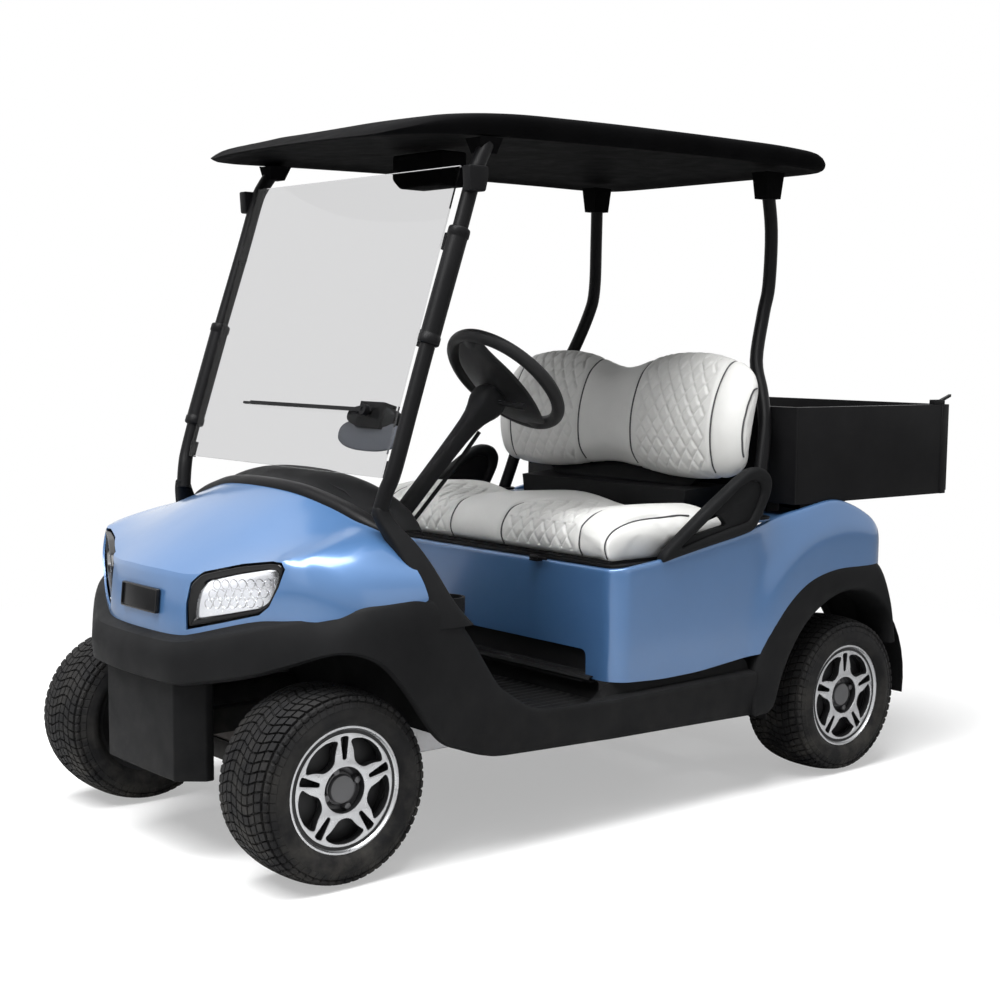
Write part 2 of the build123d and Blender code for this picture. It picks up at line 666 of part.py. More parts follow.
# ---------------------------------------------------------------- cockpit
def helm_point(x, y, z):
    """Point given in the steering wheel's own frame: x across, y along the rake, z up its axis."""
    c, s = math.cos(math.radians(WHEEL_RAKE)), math.sin(math.radians(WHEEL_RAKE))
    return (HELM_X + x, HELM_Y + y * c + z * s, HELM_Z - y * s + z * c)


def helm_plane():
    """Plane of the steering wheel's rim, its normal along the column."""
    s, c = math.sin(math.radians(WHEEL_RAKE)), math.cos(math.radians(WHEEL_RAKE))
    return Plane(origin=(HELM_X, HELM_Y, HELM_Z), x_dir=(1, 0, 0), z_dir=(0, s, c))


HELM_BODY = [  # x, y of half the wheel's body in its own plane, from the far rim to the near rim
    (34, -HELM_R), (52, -128), (84, -78), (96, 0), (84, 78), (52, 128), (34, HELM_R),
]
HELM_DISH = 30.0            # body's upper face below the rim's plane
HELM_HUB_R = 40.0


def steering_wheel():
    """Rim with a dished body across it that tapers down to the column."""
    outline = HELM_BODY + [(-x, y) for x, y in reversed(HELM_BODY)]
    body = along_z(outline, -HELM_DISH, -HELM_DISH + 14)
    cone = Location((0, 0, -HELM_DISH - 6)) * Cone(HELM_HUB_R, 88, 12)
    local = Torus(HELM_R, HELM_RIM_R) + body + cone
    for end in (-1, 1):
        local += Location((0, end * (HELM_R - 6), -HELM_DISH / 2)) * Box(68, 20, HELM_DISH)
    local += Location((0, 0, -HELM_DISH + 16)) * Box(104, 84, 6)
    return helm_plane() * local


def steering_column():
    """Column from the dash to the steering wheel's hub, with its bearing collar."""
    top = helm_point(0, 0, -HELM_DISH - 12 - GAP)
    collar_low = helm_point(0, 0, -104)
    foot = (HELM_X, *COLUMN_FOOT)
    collar = rod(collar_low, top, 38)
    shaft = rod(foot, helm_point(0, 0, -90), COLUMN_R)
    return collar + shaft


def cup_holders():
    """Open cups at the outer ends of the dash."""
    part = None
    for side in (-1, 1):
        centre = (side * 428, -474)
        cup = rod((*centre, 512), (*centre, 604), 44) - rod((*centre, 520), (*centre, 606), 38)
        bracket = box((min(side * 400, side * 456), -560, 560), (max(side * 400, side * 456), -512, 596))
        bracket -= rod((*centre, 500), (*centre, 620), 44)
        part = cup + bracket if part is None else part + cup + bracket
    return part


def pedals():
    """Brake and accelerator pads on arms hung from the toe board."""
    part = None
    for x, half in ((170, 52), (300, 32)):
        pad = along_x([(-536, 372), (-520, 380), (-560, 470), (-574, 464)], x - half, x + half)
        arm = along_x([(-566, 446), (-556, 440), (-606, 560), (-618, 552)], x - 9, x + 9)
        part = pad + arm if part is None else part + pad + arm
    return part


# ---------------------------------------------------------------- windscreen and canopy
def glass_plane():
    """Plane of the windscreen's rear face, x across and y up the glass."""
    low, high = Vector(0, *GLASS_LOW[1:]), Vector(0, *GLASS_TOP[1:])
    up = (high - low).normalized()
    return Plane(origin=low, x_dir=(1, 0, 0), z_dir=Vector(1, 0, 0).cross(up))


def windscreen():
    """One flat pane that narrows upwards, with a hole for the wiper's spindle."""
    plane = glass_plane()
    outline = [(-GLASS_LOW[0], 0), (GLASS_LOW[0], 0), (GLASS_TOP[0], GLASS_RUN), (-GLASS_TOP[0], GLASS_RUN)]
    face = make_face(plane * Polyline(*outline, close=True))
    hole = plane * (Location((*WIPER_HUB, 0)) * Cylinder(SPINDLE_HOLE_R, 40))
    return extrude(face, amount=GLASS_T, dir=plane.z_dir) - hole


STRUT_Z = (GLASS_LOW[2] - 80.0, CANOPY_TOP - 97.0)      # foot and head of the front struts
STRUT_LINE = [  # x, y along the left front strut, share of the way up
    (448, -680, 0.0), (470, -654, 0.12), (472, -564, 0.455), (472, -437, 0.905), (462, -392, 1.0),
]
STRUT_BEND = 150.0
SLEEVES = {1: (0.454, 0.770), -1: (0.190, 0.508)}       # share of the way up at the sleeve's ends
SLEEVE_R = 26.0


def levels(line, ends):
    """Points x, y, z from x, y and the share of the way between two heights."""
    low, high = ends
    return [(x, y, low + (high - low) * share) for x, y, share in line]


def strut_point(share):
    """Point on the left front strut's line at a share of its height."""
    for low, high in zip(STRUT_LINE, STRUT_LINE[1:]):
        if share <= high[2]:
            break
    step = (share - low[2]) / (high[2] - low[2])
    x, y = (a + (b - a) * step for a, b in zip(low[:2], high[:2]))
    return levels([(x, y, share)], STRUT_Z)[0]


def front_strut():
    """Left front strut without its sleeve."""
    return tube(levels(STRUT_LINE, STRUT_Z), STRUT_R, STRUT_BEND)


def front_struts():
    """Both front struts, each with a thicker sleeve at its own height."""
    part = both_sides(front_strut())
    for side, (low, high) in SLEEVES.items():
        ends = [(side * x, y, z) for x, y, z in (strut_point(low), strut_point(high))]
        part += rod(*ends, SLEEVE_R)
    return part


def windscreen_clips():
    """Clamps that hold the glass to the struts: top, middle sleeve and foot, each side."""
    plane = glass_plane()
    part = None
    for distance in CLIP_SPOTS:
        x = GLASS_LOW[0] + (GLASS_TOP[0] - GLASS_LOW[0]) * distance / GLASS_RUN
        clip = plane * (Location((x, distance, -9)) * Box(50, 40, 18))
        part = clip if part is None else part + clip
    return both_sides(part) - front_struts()


CANOPY_PLAN = [  # x, y of the canopy's edge from the front centre to the rear centre
    (0, CANOPY_FRONT_Y), (170, CANOPY_FRONT_Y + 12), (330, CANOPY_FRONT_Y + 44), (450, CANOPY_CORNER_Y),
    (CANOPY_X - 8, CANOPY_CORNER_Y + 75), (CANOPY_X, CANOPY_CORNER_Y + 195), (CANOPY_X, CANOPY_REAR_Y - 132),
    (CANOPY_X - 30, CANOPY_REAR_Y - 42), (CANOPY_X - 100, CANOPY_REAR_Y), (0, CANOPY_REAR_Y),
]
CANOPY_PROFILE = [  # y, depth below the crown round the canopy's side outline
    (-700, 84), (-560, 86), (-300, 77), (300, 65), (CANOPY_REAR_Y + 8, 66), (CANOPY_REAR_Y - 4, 40),
    (CANOPY_REAR_Y - 56, 5), (700, 2), (300, 0), (-100, 7), (-400, 27), (-600, 57), (-700, 76),
]
CANOPY_FRONT = [  # x, depth below the crown round the canopy's front outline
    (0, 0), (250, 3), (430, 9), (480, 19), (500, 40), (500, 55), (470, 95), (0, 95),
]


def canopy():
    """Moulded roof: its plan, side and front outlines cut across each other."""
    plan = CANOPY_PLAN + [(-x, y) for x, y in reversed(CANOPY_PLAN[1:-1])]
    right = [(-x, depth) for x, depth in reversed(CANOPY_FRONT[1:-1])]
    front = [(x, CANOPY_TOP - depth) for x, depth in CANOPY_FRONT + right]
    profile = [(y, CANOPY_TOP - depth) for y, depth in CANOPY_PROFILE]
    part = along_z(plan, CANOPY_TOP - 105, CANOPY_TOP + 15) & along_x(profile, -510, 510)
    return part & along_y(front, -710, 840)


REAR_STRUT_Z = (DECK_Z, CANOPY_TOP - 105.0)             # deck and head of the rear struts
REAR_STRUT_LINE = [  # x, y along the left rear strut, share of the way up
    (534, 488, -0.022), (494, 556, 0.256), (372, 640, 0.478), (362, 708, 0.70), (362, 712, 0.867),
    (350, 703, 1.0),
]
REAR_STRUT_BEND = 110.0


def rear_strut():
    """Left rear strut, its foot cut level to stand on the deck."""
    below = box((400, 400, DECK_Z - 100), (600, 600, DECK_Z))
    return tube(levels(REAR_STRUT_LINE, REAR_STRUT_Z), STRUT_R, REAR_STRUT_BEND) - below


def canopy_brackets():
    """Blocks under the canopy that take the struts' upper ends."""
    part = None
    for x, y, drop in ((352, 703, 138), (452, -390, 116)):
        block = box((x - 30, y - 34, CANOPY_TOP - drop), (x + 30, y + 34, CANOPY_TOP - 45))
        part = block if part is None else part + block
    part -= canopy()
    return both_sides(part - rear_strut() - front_strut())


# ---------------------------------------------------------------- rear body and seats
BODY_SIDE = [  # y, z round the painted rear body
    (KICK_Y, BODY_HEM_Z), (KICK_Y, SEAT_EDGE_Z), (95, 663), (374, 708), (520, 752), (660, 778), (758, 788),
    (841, 768), (918, 735), (965, 690), (BODY_REAR_Y, 610), (BODY_REAR_Y, 372), (520, 384), (442, 381),
    (235, 361), (100, 358),
]


def body_envelope():
    """Rear body as a solid block with its side outline and rounded front corners."""
    outer = along_x(BODY_SIDE, -BODY_X, BODY_X)
    corners = outer.edges().filter_by(Axis.Z).group_by(Axis.Y)[0]
    return fillet(corners, BODY_CORNER_R)


def rear_body():
    """Painted body behind the footwell: four walls and the deck, open under the seat."""
    back = BODY_REAR_Y - PANEL_T
    front = KICK_Y + PANEL_T
    hollow = [(front, 200), (front, 900), (DECK_REAR_Y, 900), (DECK_REAR_Y, DECK_Z - 12), (back, 600),
              (back, 200)]
    inner = along_x(hollow, -BODY_X + PANEL_T, BODY_X - PANEL_T)
    inner = fillet(inner.edges().filter_by(Axis.Z).group_by(Axis.Y)[0], BODY_CORNER_R - PANEL_T)
    part = body_envelope() - inner
    part += box((-BODY_X + PANEL_T, DECK_Y, DECK_Z - PANEL_T), (BODY_X - PANEL_T, DECK_REAR_Y, DECK_Z))
    part -= box((-KICK_X, KICK_Y - 5, 300), (KICK_X, KICK_Y + PANEL_T + 1, KICK_HEM_Z))
    arch = rod((-BODY_X - 5, REAR_Y + 8, WHEEL_Z), (BODY_X + 5, REAR_Y + 8, WHEEL_Z), ARCH_R)
    return part - arch - both_sides(flare() + sill())


FLARE_X = 600.0
FLARE_OPENING = [  # y, z round the wheel opening, from the sill to the tail
    (REAR_Y - 317, 222), (REAR_Y - 284, 300), (REAR_Y - 244, 373), (REAR_Y - 192, 437), (REAR_Y - 127, 483),
    (REAR_Y - 46, 515), (REAR_Y + 42, 518), (REAR_Y + 116, 492), (REAR_Y + 172, 438), (REAR_Y + 180, 352),
]
FLARE_UPPER = [  # y, z of the flare's upper edge at the same places
    (REAR_Y - 400, 222), (REAR_Y - 396, 330), (REAR_Y - 362, 408), (REAR_Y - 321, 491), (REAR_Y - 258, 547),
    (REAR_Y - 185, 585), (REAR_Y - 40, 605), (REAR_Y + 116, 597), (REAR_Y + 168, 500), (REAR_Y + 202, 361),
]
FLARE_SECTION = [  # x, share from the upper edge to the opening, round the flare's section
    (BODY_X - 12, 0.0), (BODY_X + 2, 0.0), (BODY_X + 14, 0.14), (FLARE_X, 0.42), (FLARE_X - 2, 0.78),
    (BODY_X + 4, 1.0), (BODY_X - 70, 1.0), (BODY_X - 70, 0.92), (BODY_X - 12, 0.90),
]


def flare():
    """Left rear wheel flare: a band of rounded section with an inner lip round the opening."""
    faces = []
    for (ya, za), (yb, zb) in zip(FLARE_UPPER, FLARE_OPENING):
        points = [(x, ya + (yb - ya) * share, za + (zb - za) * share) for x, share in FLARE_SECTION]
        faces.append(make_face(Polyline(*points, close=True)))
    return loft(faces, ruled=True)


def rear_panel_lamps():
    """Tail lamps on the back of the rear body."""
    part = box((330, BODY_REAR_Y, 520), (470, BODY_REAR_Y + 10, 560))
    return both_sides(part)


CUSHION_SIDE = [  # y, height above the pan round the cushion's section
    (SEAT_FRONT_Y + 14, 0), (SEAT_FRONT_Y + 1, 40), (SEAT_FRONT_Y + 12, 78), (SEAT_FRONT_Y + 50, 99),
    (120, 108), (250, 104), (350, 96), (SEAT_REAR_Y, 66), (SEAT_REAR_Y, 0),
]
CUSHION_ROWS = [  # x, share of the full height, extra height of the hump or hollow
    (0, 1.0, 14), (120, 1.0, 2), (235, 1.0, -14), (350, 1.0, 2), (465, 1.0, 12), (525, 0.88, 0),
    (SEAT_X, 0.55, 0),
]


def both_ways(rows):
    """Rows listed from the middle outwards, with their mirror images ahead of them."""
    return [(-row[0], *row[1:]) for row in reversed(rows[1:])] + list(rows)


def side_section(x, points):
    """Face across the cart's width at one x, from points (y, z)."""
    return make_face(Polyline(*[(x, y, z) for y, z in points], close=True))


def seat_cushion():
    """Cushion with a raised middle and outer edges and a hollow for each occupant."""
    base = PAN_Z + PAN_T
    faces = []
    for x, share, hump in both_ways(CUSHION_ROWS):
        points = [(y, base + height * share + (hump if height > 90 else 0))
                  for y, height in CUSHION_SIDE]
        faces.append(side_section(x, points))
    return loft(faces, ruled=True)


HINGE_Y = KICK_Y - 13.0
HINGE_Z = PAN_Z
HINGE_R = 7.0
HINGE_PIN_R = 4.0
HINGE_L = 30.0
HINGE_X = 300.0


def seat_pan():
    """Base of the seat cushion, with the moving halves of its two hinges."""
    part = box((-SEAT_X, KICK_Y - 1, PAN_Z), (SEAT_X, SEAT_REAR_Y, PAN_Z + PAN_T))
    for x in (-HINGE_X, HINGE_X):
        leaf = box((x, HINGE_Y, HINGE_Z + 1), (x + HINGE_L, KICK_Y + 3, HINGE_Z + HINGE_R))
        part += leaf + rod((x, HINGE_Y, HINGE_Z), (x + HINGE_L, HINGE_Y, HINGE_Z), HINGE_R)
        part -= rod((x - 1, HINGE_Y, HINGE_Z), (x + HINGE_L + 1, HINGE_Y, HINGE_Z), HINGE_PIN_R + RUNNING)
    return part


def seat_hinges():
    """Fixed halves of the seat's hinges, on the front wall, each with its pin."""
    part = None
    for x in (-HINGE_X, HINGE_X):
        end = x - 0.5
        hinge = rod((end - HINGE_L, HINGE_Y, HINGE_Z), (end, HINGE_Y, HINGE_Z), HINGE_R)
        hinge += rod((end - 1, HINGE_Y, HINGE_Z), (x + HINGE_L, HINGE_Y, HINGE_Z), HINGE_PIN_R)
        hinge += box((end - HINGE_L, HINGE_Y - HINGE_R, HINGE_Z - 40), (end, KICK_Y, HINGE_Z - 4))
        part = hinge if part is None else part + hinge
    return part


BACK_SIDE = [  # share of the way up, y round the backrest's section
    (0.0, 465), (0.06, 446), (0.20, 430), (0.45, 424), (0.70, 446), (0.88, 478), (1.0, 520),
    (0.97, 545), (0.85, 556), (0.60, 535), (0.06, 500), (0.0, 488),
]
BACK_FOOT_Y = 475.0         # middle of the section at the foot
BACK_LEAN = 30.0            # how far back the middle lies at the top
BACK_ROWS = [  # x, foot z, top z, share of the full thickness
    (0, 850, 1148, 1.0), (55, 846, 1156, 1.0), (110, 838, 1178, 1.0), (200, 824, 1195, 1.0),
    (320, 820, 1197, 1.0), (420, 826, 1180, 0.95), (480, 846, 1146, 0.75), (BACK_X, 900, 1085, 0.30),
]


def backrest():
    """Leaning backrest with two humps and a notch between them."""
    faces = []
    for x, foot, top, thick in both_ways(BACK_ROWS):
        points = []
        for share, y in BACK_SIDE:
            middle = BACK_FOOT_Y + BACK_LEAN * share
            points.append((middle + (y - middle) * thick, foot + (top - foot) * share))
        faces.append(side_section(x, points))
    return loft(faces, ruled=True)


def backrest_frame():
    """Dark housing behind and below the backrest, standing on the deck."""
    front = SEAT_REAR_Y + 4 * GAP
    outline = [(front, 700), (DECK_Y, 700), (DECK_Y, DECK_Z), (560, DECK_Z), (560, 816), (front, 806)]
    panel = along_x([(488, 810), (500, 900), (520, 1040), (534, 1080), (560, 1080), (548, 1040), (530, 900),
                     (512, 810)], -380, 380)
    base = along_x(outline, -470, 470)
    return base + panel - both_sides(rear_strut()) - backrest()


REST_OUTER = [  # y, z of the restraint's outline
    (104, 664), (104, 688), (384, 868), (432, 882), (476, 866), (490, 822), (428, 716), (374, 708),
]
REST_SLOT = [  # y, z of the opening through it
    (160, 690), (372, 824), (398, 806), (372, 740), (300, 712),
]


def hip_restraint():
    """Left hip restraint: a closed loop standing on the body's top edge."""
    loop = along_x(REST_OUTER, BODY_X - 22, BODY_X + 8)
    loop -= along_x(REST_SLOT, BODY_X - 30, BODY_X + 12)
    return loop - rear_body()


# ---------------------------------------------------------------- cargo box
def box_side():
    """Left side sheet with its folded rim and corner post."""
    sheet = box((BOX_X - SHEET_T, BOX_FRONT_Y + SHEET_T, BOX_Z), (BOX_X, BOX_REAR_Y, BOX_TOP))
    rim_part = box((BOX_X - BOX_RIM, BOX_FRONT_Y + SHEET_T, BOX_TOP - SHEET_T),
                   (BOX_X, BOX_REAR_Y, BOX_TOP))
    post = box((BOX_X, BOX_REAR_Y - 26, BOX_Z), (BOX_X + 4, BOX_REAR_Y, BOX_TOP))
    return sheet + rim_part + post


def box_front():
    """Front sheet of the cargo box with its folded rim."""
    sheet = box((-BOX_X, BOX_FRONT_Y, BOX_Z), (BOX_X, BOX_FRONT_Y + SHEET_T, BOX_TOP))
    rim_part = box((-BOX_X + BOX_RIM, BOX_FRONT_Y, BOX_TOP - SHEET_T),
                   (BOX_X - BOX_RIM, BOX_FRONT_Y + BOX_RIM, BOX_TOP))
    return sheet + rim_part


def box_floor():
    """Flat floor between the box's walls."""
    reach = BOX_X - SHEET_T
    return box((-reach, BOX_FRONT_Y + SHEET_T, BOX_Z), (reach, BOX_REAR_Y, BOX_Z + SHEET_T))


def box_brackets():
    """Cross bearers between the body's deck and the cargo box."""
    part = None
    for station in (660.0, 800.0):
        bearer = box((-420, station, DECK_Z), (420, station + 50, BOX_Z))
        part = bearer if part is None else part + bearer
    stay = along_x([(930, 700), (1180, BOX_Z - 14), (1180, BOX_Z), (900, BOX_Z), (900, 730)], 300, 340)
    part += both_sides(stay)
    return part - rear_body()


GATE_Y = BOX_REAR_Y + GAP
GATE_HINGE_Y = GATE_Y + GATE_T - 2
GATE_HINGE_Z = BOX_Z - 4.0
GATE_EYE_R = 8.0
GATE_EYE_L = 30.0


def tailgate():
    """Drop-down gate with its hinge eyes."""
    part = box((-BOX_X + 8, GATE_Y, BOX_Z + 8), (BOX_X - 8, GATE_Y + GATE_T, BOX_TOP))
    for x in (-GATE_HINGE_X, GATE_HINGE_X):
        end = x + GATE_EYE_L
        part += rod((x, GATE_HINGE_Y, GATE_HINGE_Z), (end, GATE_HINGE_Y, GATE_HINGE_Z), GATE_EYE_R)
        part += box((x, GATE_HINGE_Y - 4, GATE_HINGE_Z), (end, GATE_HINGE_Y + 2, BOX_Z + 10))
        part -= rod((x - 1, GATE_HINGE_Y, GATE_HINGE_Z), (end + 1, GATE_HINGE_Y, GATE_HINGE_Z),
                    GATE_PIN_R + RUNNING)
    return part


def gate_hinges():
    """Fixed hinge brackets under the cargo floor, each with its pin."""
    part = None
    for x in (-GATE_HINGE_X, GATE_HINGE_X):
        start, end = x - 2 - HINGE_L, x - 2
        bracket = box((start, BOX_REAR_Y - 60, BOX_Z - 12), (end, GATE_HINGE_Y, BOX_Z))
        bracket += rod((start, GATE_HINGE_Y, GATE_HINGE_Z), (end, GATE_HINGE_Y, GATE_HINGE_Z), GATE_EYE_R)
        bracket += rod((end - 1, GATE_HINGE_Y, GATE_HINGE_Z), (x + GATE_EYE_L, GATE_HINGE_Y, GATE_HINGE_Z),
                       GATE_PIN_R)
        part = bracket if part is None else part + bracket
    return part


def gate_latches():
    """Latch levers on the box's rear corners."""
    lever = box((BOX_X - BOX_RIM, BOX_REAR_Y - 60, BOX_TOP), (BOX_X - 2, BOX_REAR_Y - 10, BOX_TOP + 14))
    lever += along_x([(BOX_REAR_Y - 20, BOX_TOP + GAP), (TAIL_Y, BOX_TOP + 22), (TAIL_Y, BOX_TOP + 30),
                      (BOX_REAR_Y - 20, BOX_TOP + 14)], BOX_X - 16, BOX_X - 6)
    return both_sides(lever)


# ---------------------------------------------------------------- wiper
def wiper_motor():
    """Motor cover behind the glass, with its spindle through it."""
    plane = glass_plane()
    x, up = WIPER_HUB
    cover = plane * (Location((x, up - 6, -18)) * Box(96, 62, 36))
    spindle = plane * (Location((x, up, GLASS_T / 2 + 8)) * Cylinder(WIPER_PIN_R, GLASS_T + 20))
    return cover + spindle


def wiper():
    """Arm and blade, parked across the glass towards the passenger's side."""
    plane = glass_plane()
    x, up = WIPER_HUB
    hub = Location((x, up, WIPER_OFF + 8)) * Cylinder(13, 12)
    arm = Location((x - WIPER_REACH / 2, up, WIPER_OFF + 9)) * Box(WIPER_REACH, 9, 5)
    blade = Location((x - WIPER_REACH + 160, up, WIPER_OFF + 3.5)) * Box(400, 6, 7)
    bore = Location((x, up, WIPER_OFF + 6)) * Cylinder(WIPER_PIN_R + RUNNING, 40)
    return plane * (hub + arm + blade - bore)


# ---------------------------------------------------------------- write every node
def main():
    """Build every node and write it."""
    os.makedirs("parts", exist_ok=True)
    wheels()
    headlamps()
    left_knuckle = knuckle()
    nodes = {
        "front_axle_beam": front_axle(),
        "knuckle_left": left_knuckle,
        "knuckle_right": mirror(left_knuckle, about=Plane.YZ),
        "tie_rod": tie_rod(),
        "rear_axle": rear_axle(),
        "drive_motor": drive_motor(),
        "side_rails": side_rails(),
        "front_rails": front_rails(),
        "cross_members": cross_members(),
        "rear_crossbar": rear_crossbar(),
        "leaf_springs": leaf_springs(),
        "battery_pack": battery_pack(),
        "floor_tray": floor_tray(),
        "sills": both_sides(sill()),
        "bumper_band": bumper_band(),
        "front_cowl": front_cowl(),
        "cowl_top": cowl_top(),
        "dash": dash(),
        "pillars": both_sides(pillar()),
        "front_fascia": front_fascia(),
        "steering_wheel": steering_wheel(),
        "steering_column": steering_column(),
        "cup_holders": cup_holders(),
        "pedals": pedals(),
        "windscreen": windscreen(),
        "windscreen_clips": windscreen_clips(),
        "front_struts": front_struts(),
        "rear_struts": both_sides(rear_strut()),
        "canopy": canopy(),
        "canopy_brackets": canopy_brackets(),
        "rear_body": rear_body(),
        "rear_flares": both_sides(flare()),
        "tail_lamps": rear_panel_lamps(),
        "seat_cushion": seat_cushion(),
        "seat_pan": seat_pan(),
        "seat_hinges": seat_hinges(),
        "backrest": backrest(),
        "backrest_frame": backrest_frame(),
        "hip_restraints": both_sides(hip_restraint()),
        "box_sides": both_sides(box_side()),
        "box_front": box_front(),
        "box_floor": box_floor(),
        "box_brackets": box_brackets(),
        "box_hardware": gate_hinges() + gate_latches(),
        "tailgate": tailgate(),
        "wiper_motor": wiper_motor(),
        "wiper": wiper(),
    }
    for name, part in nodes.items():
        save(name, part)


main()
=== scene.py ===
"""Dressed model of a two-seat golf cart with a canopy, windscreen and cargo box.

Metres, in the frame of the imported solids: -Y the nose, +X the driver's side, +Z up.
Places written through `at` are stations from the middle of the wheelbase, in millimetres.
"""

import json
import logging
import math
from dataclasses import dataclass
from enum import Enum
from typing import Callable, Iterable, Sequence

import bpy
from mathutils import Matrix, Vector

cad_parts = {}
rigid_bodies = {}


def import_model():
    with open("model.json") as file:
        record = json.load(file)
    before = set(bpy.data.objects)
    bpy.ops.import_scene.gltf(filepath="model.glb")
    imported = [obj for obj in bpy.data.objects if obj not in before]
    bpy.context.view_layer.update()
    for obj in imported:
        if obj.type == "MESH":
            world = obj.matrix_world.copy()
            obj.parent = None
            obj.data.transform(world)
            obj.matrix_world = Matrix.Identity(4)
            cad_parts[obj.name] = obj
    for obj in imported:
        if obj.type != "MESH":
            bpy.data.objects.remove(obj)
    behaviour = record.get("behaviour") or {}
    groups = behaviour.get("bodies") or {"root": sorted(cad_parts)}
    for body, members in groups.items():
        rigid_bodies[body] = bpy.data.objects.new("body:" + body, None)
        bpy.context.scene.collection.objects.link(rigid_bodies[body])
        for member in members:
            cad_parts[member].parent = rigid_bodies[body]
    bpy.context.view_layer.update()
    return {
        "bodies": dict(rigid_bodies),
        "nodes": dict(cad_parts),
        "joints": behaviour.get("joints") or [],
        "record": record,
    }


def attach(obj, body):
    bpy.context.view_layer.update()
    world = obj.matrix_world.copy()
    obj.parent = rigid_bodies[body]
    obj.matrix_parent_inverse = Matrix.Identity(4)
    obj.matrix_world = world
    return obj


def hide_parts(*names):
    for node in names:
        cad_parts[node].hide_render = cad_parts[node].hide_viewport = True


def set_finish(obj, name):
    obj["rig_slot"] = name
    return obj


log = logging.getLogger("golf_cart")

STATION_SHIFT = -116.5      # mid-wheelbase stations to the part's own origin, mm
FRONT_STATION = -832.0
REAR_STATION = 832.0
HUB_HEIGHT = 221.0
Point = Sequence[float]
Outline = Sequence[tuple[float, float]]
Piece = bpy.types.Object


def at(x: float, y: float, z: float) -> Vector:
    """Scene point in metres from millimetres with y measured from the mid-wheelbase."""
    return Vector((x / 1000, (y + STATION_SHIFT) / 1000, z / 1000))


class Slot(Enum):
    """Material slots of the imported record."""

    TYRE = "tyre_rubber"
    RIM = "rim_alloy"
    PAINT = "paint_blue"
    PLASTIC = "dark_plastic"
    BLACK = "black_paint"
    CANOPY = "canopy_black"
    CASTING = "axle_steel"
    FRAME = "frame_alloy"
    SPRING = "spring_steel"
    LEATHER = "seat_leather"
    GLASS = "screen_glass"
    LENS = "lamp_glass"
    BEZEL = "lamp_black"
    RED = "lamp_red"
    GRIP = "wheel_grip"
    BATTERY = "battery_case"


# ---------------------------------------------------------------- node groups
class NodeKit:
    """Small helper that adds and links nodes in one tree."""

    def __init__(self, tree: bpy.types.NodeTree) -> None:
        """Take the tree to work in."""
        self.tree = tree

    def add(self, kind: str, **values: object) -> bpy.types.Node:
        """Add a node and set its properties and its sockets by name.

        Args:
            kind: Blender's node type.
            values: Property names, or socket names written with a trailing underscore.

        Returns:
            The new node.
        """
        node = self.tree.nodes.new(kind)
        for key, value in values.items():
            if key.endswith("_"):
                node.inputs[key[:-1].replace("__", " ")].default_value = value
            else:
                setattr(node, key, value)
        return node

    def link(self, source: bpy.types.NodeSocket, target: bpy.types.NodeSocket) -> None:
        """Join two sockets."""
        self.tree.links.new(source, target)

    def wire(self, source: bpy.types.Node, output: str | int, target: bpy.types.Node,
             entry: str | int) -> None:
        """Join a node's output to another's input, each by name or place."""
        self.link(source.outputs[output], target.inputs[entry])


def principled(name: str, values: dict[str, object]) -> tuple:
    """Make a material and set sockets of its main shader.

    Args:
        name: The material's name.
        values: Socket names with their values.

    Returns:
        The material, its kit and its main shader.
    """
    material = bpy.data.materials.new(name)
    material.use_nodes = True
    shader = material.node_tree.nodes["Principled BSDF"]
    for label, value in values.items():
        shader.inputs[label].default_value = value
    return material, NodeKit(material.node_tree), shader


def new_group(name: str, inputs: dict[str, float], outputs: dict[str, str]) -> tuple:
    """Make an empty shader group with float inputs.

    Args:
        name: The group's name.
        inputs: Input names with their defaults.
        outputs: Output names with "float" or "vector".

    Returns:
        The group, its kit, its input node and its output node.
    """
    group = bpy.data.node_groups.new(name, "ShaderNodeTree")
    for label, default in inputs.items():
        socket = group.interface.new_socket(name=label, in_out="INPUT",
                                            socket_type="NodeSocketFloat")
        socket.default_value = default
    for label, kind in outputs.items():
        family = "NodeSocketFloat" if kind == "float" else "NodeSocketVector"
        group.interface.new_socket(name=label, in_out="OUTPUT", socket_type=family)
    kit = NodeKit(group)
    return group, kit, kit.add("NodeGroupInput"), kit.add("NodeGroupOutput")


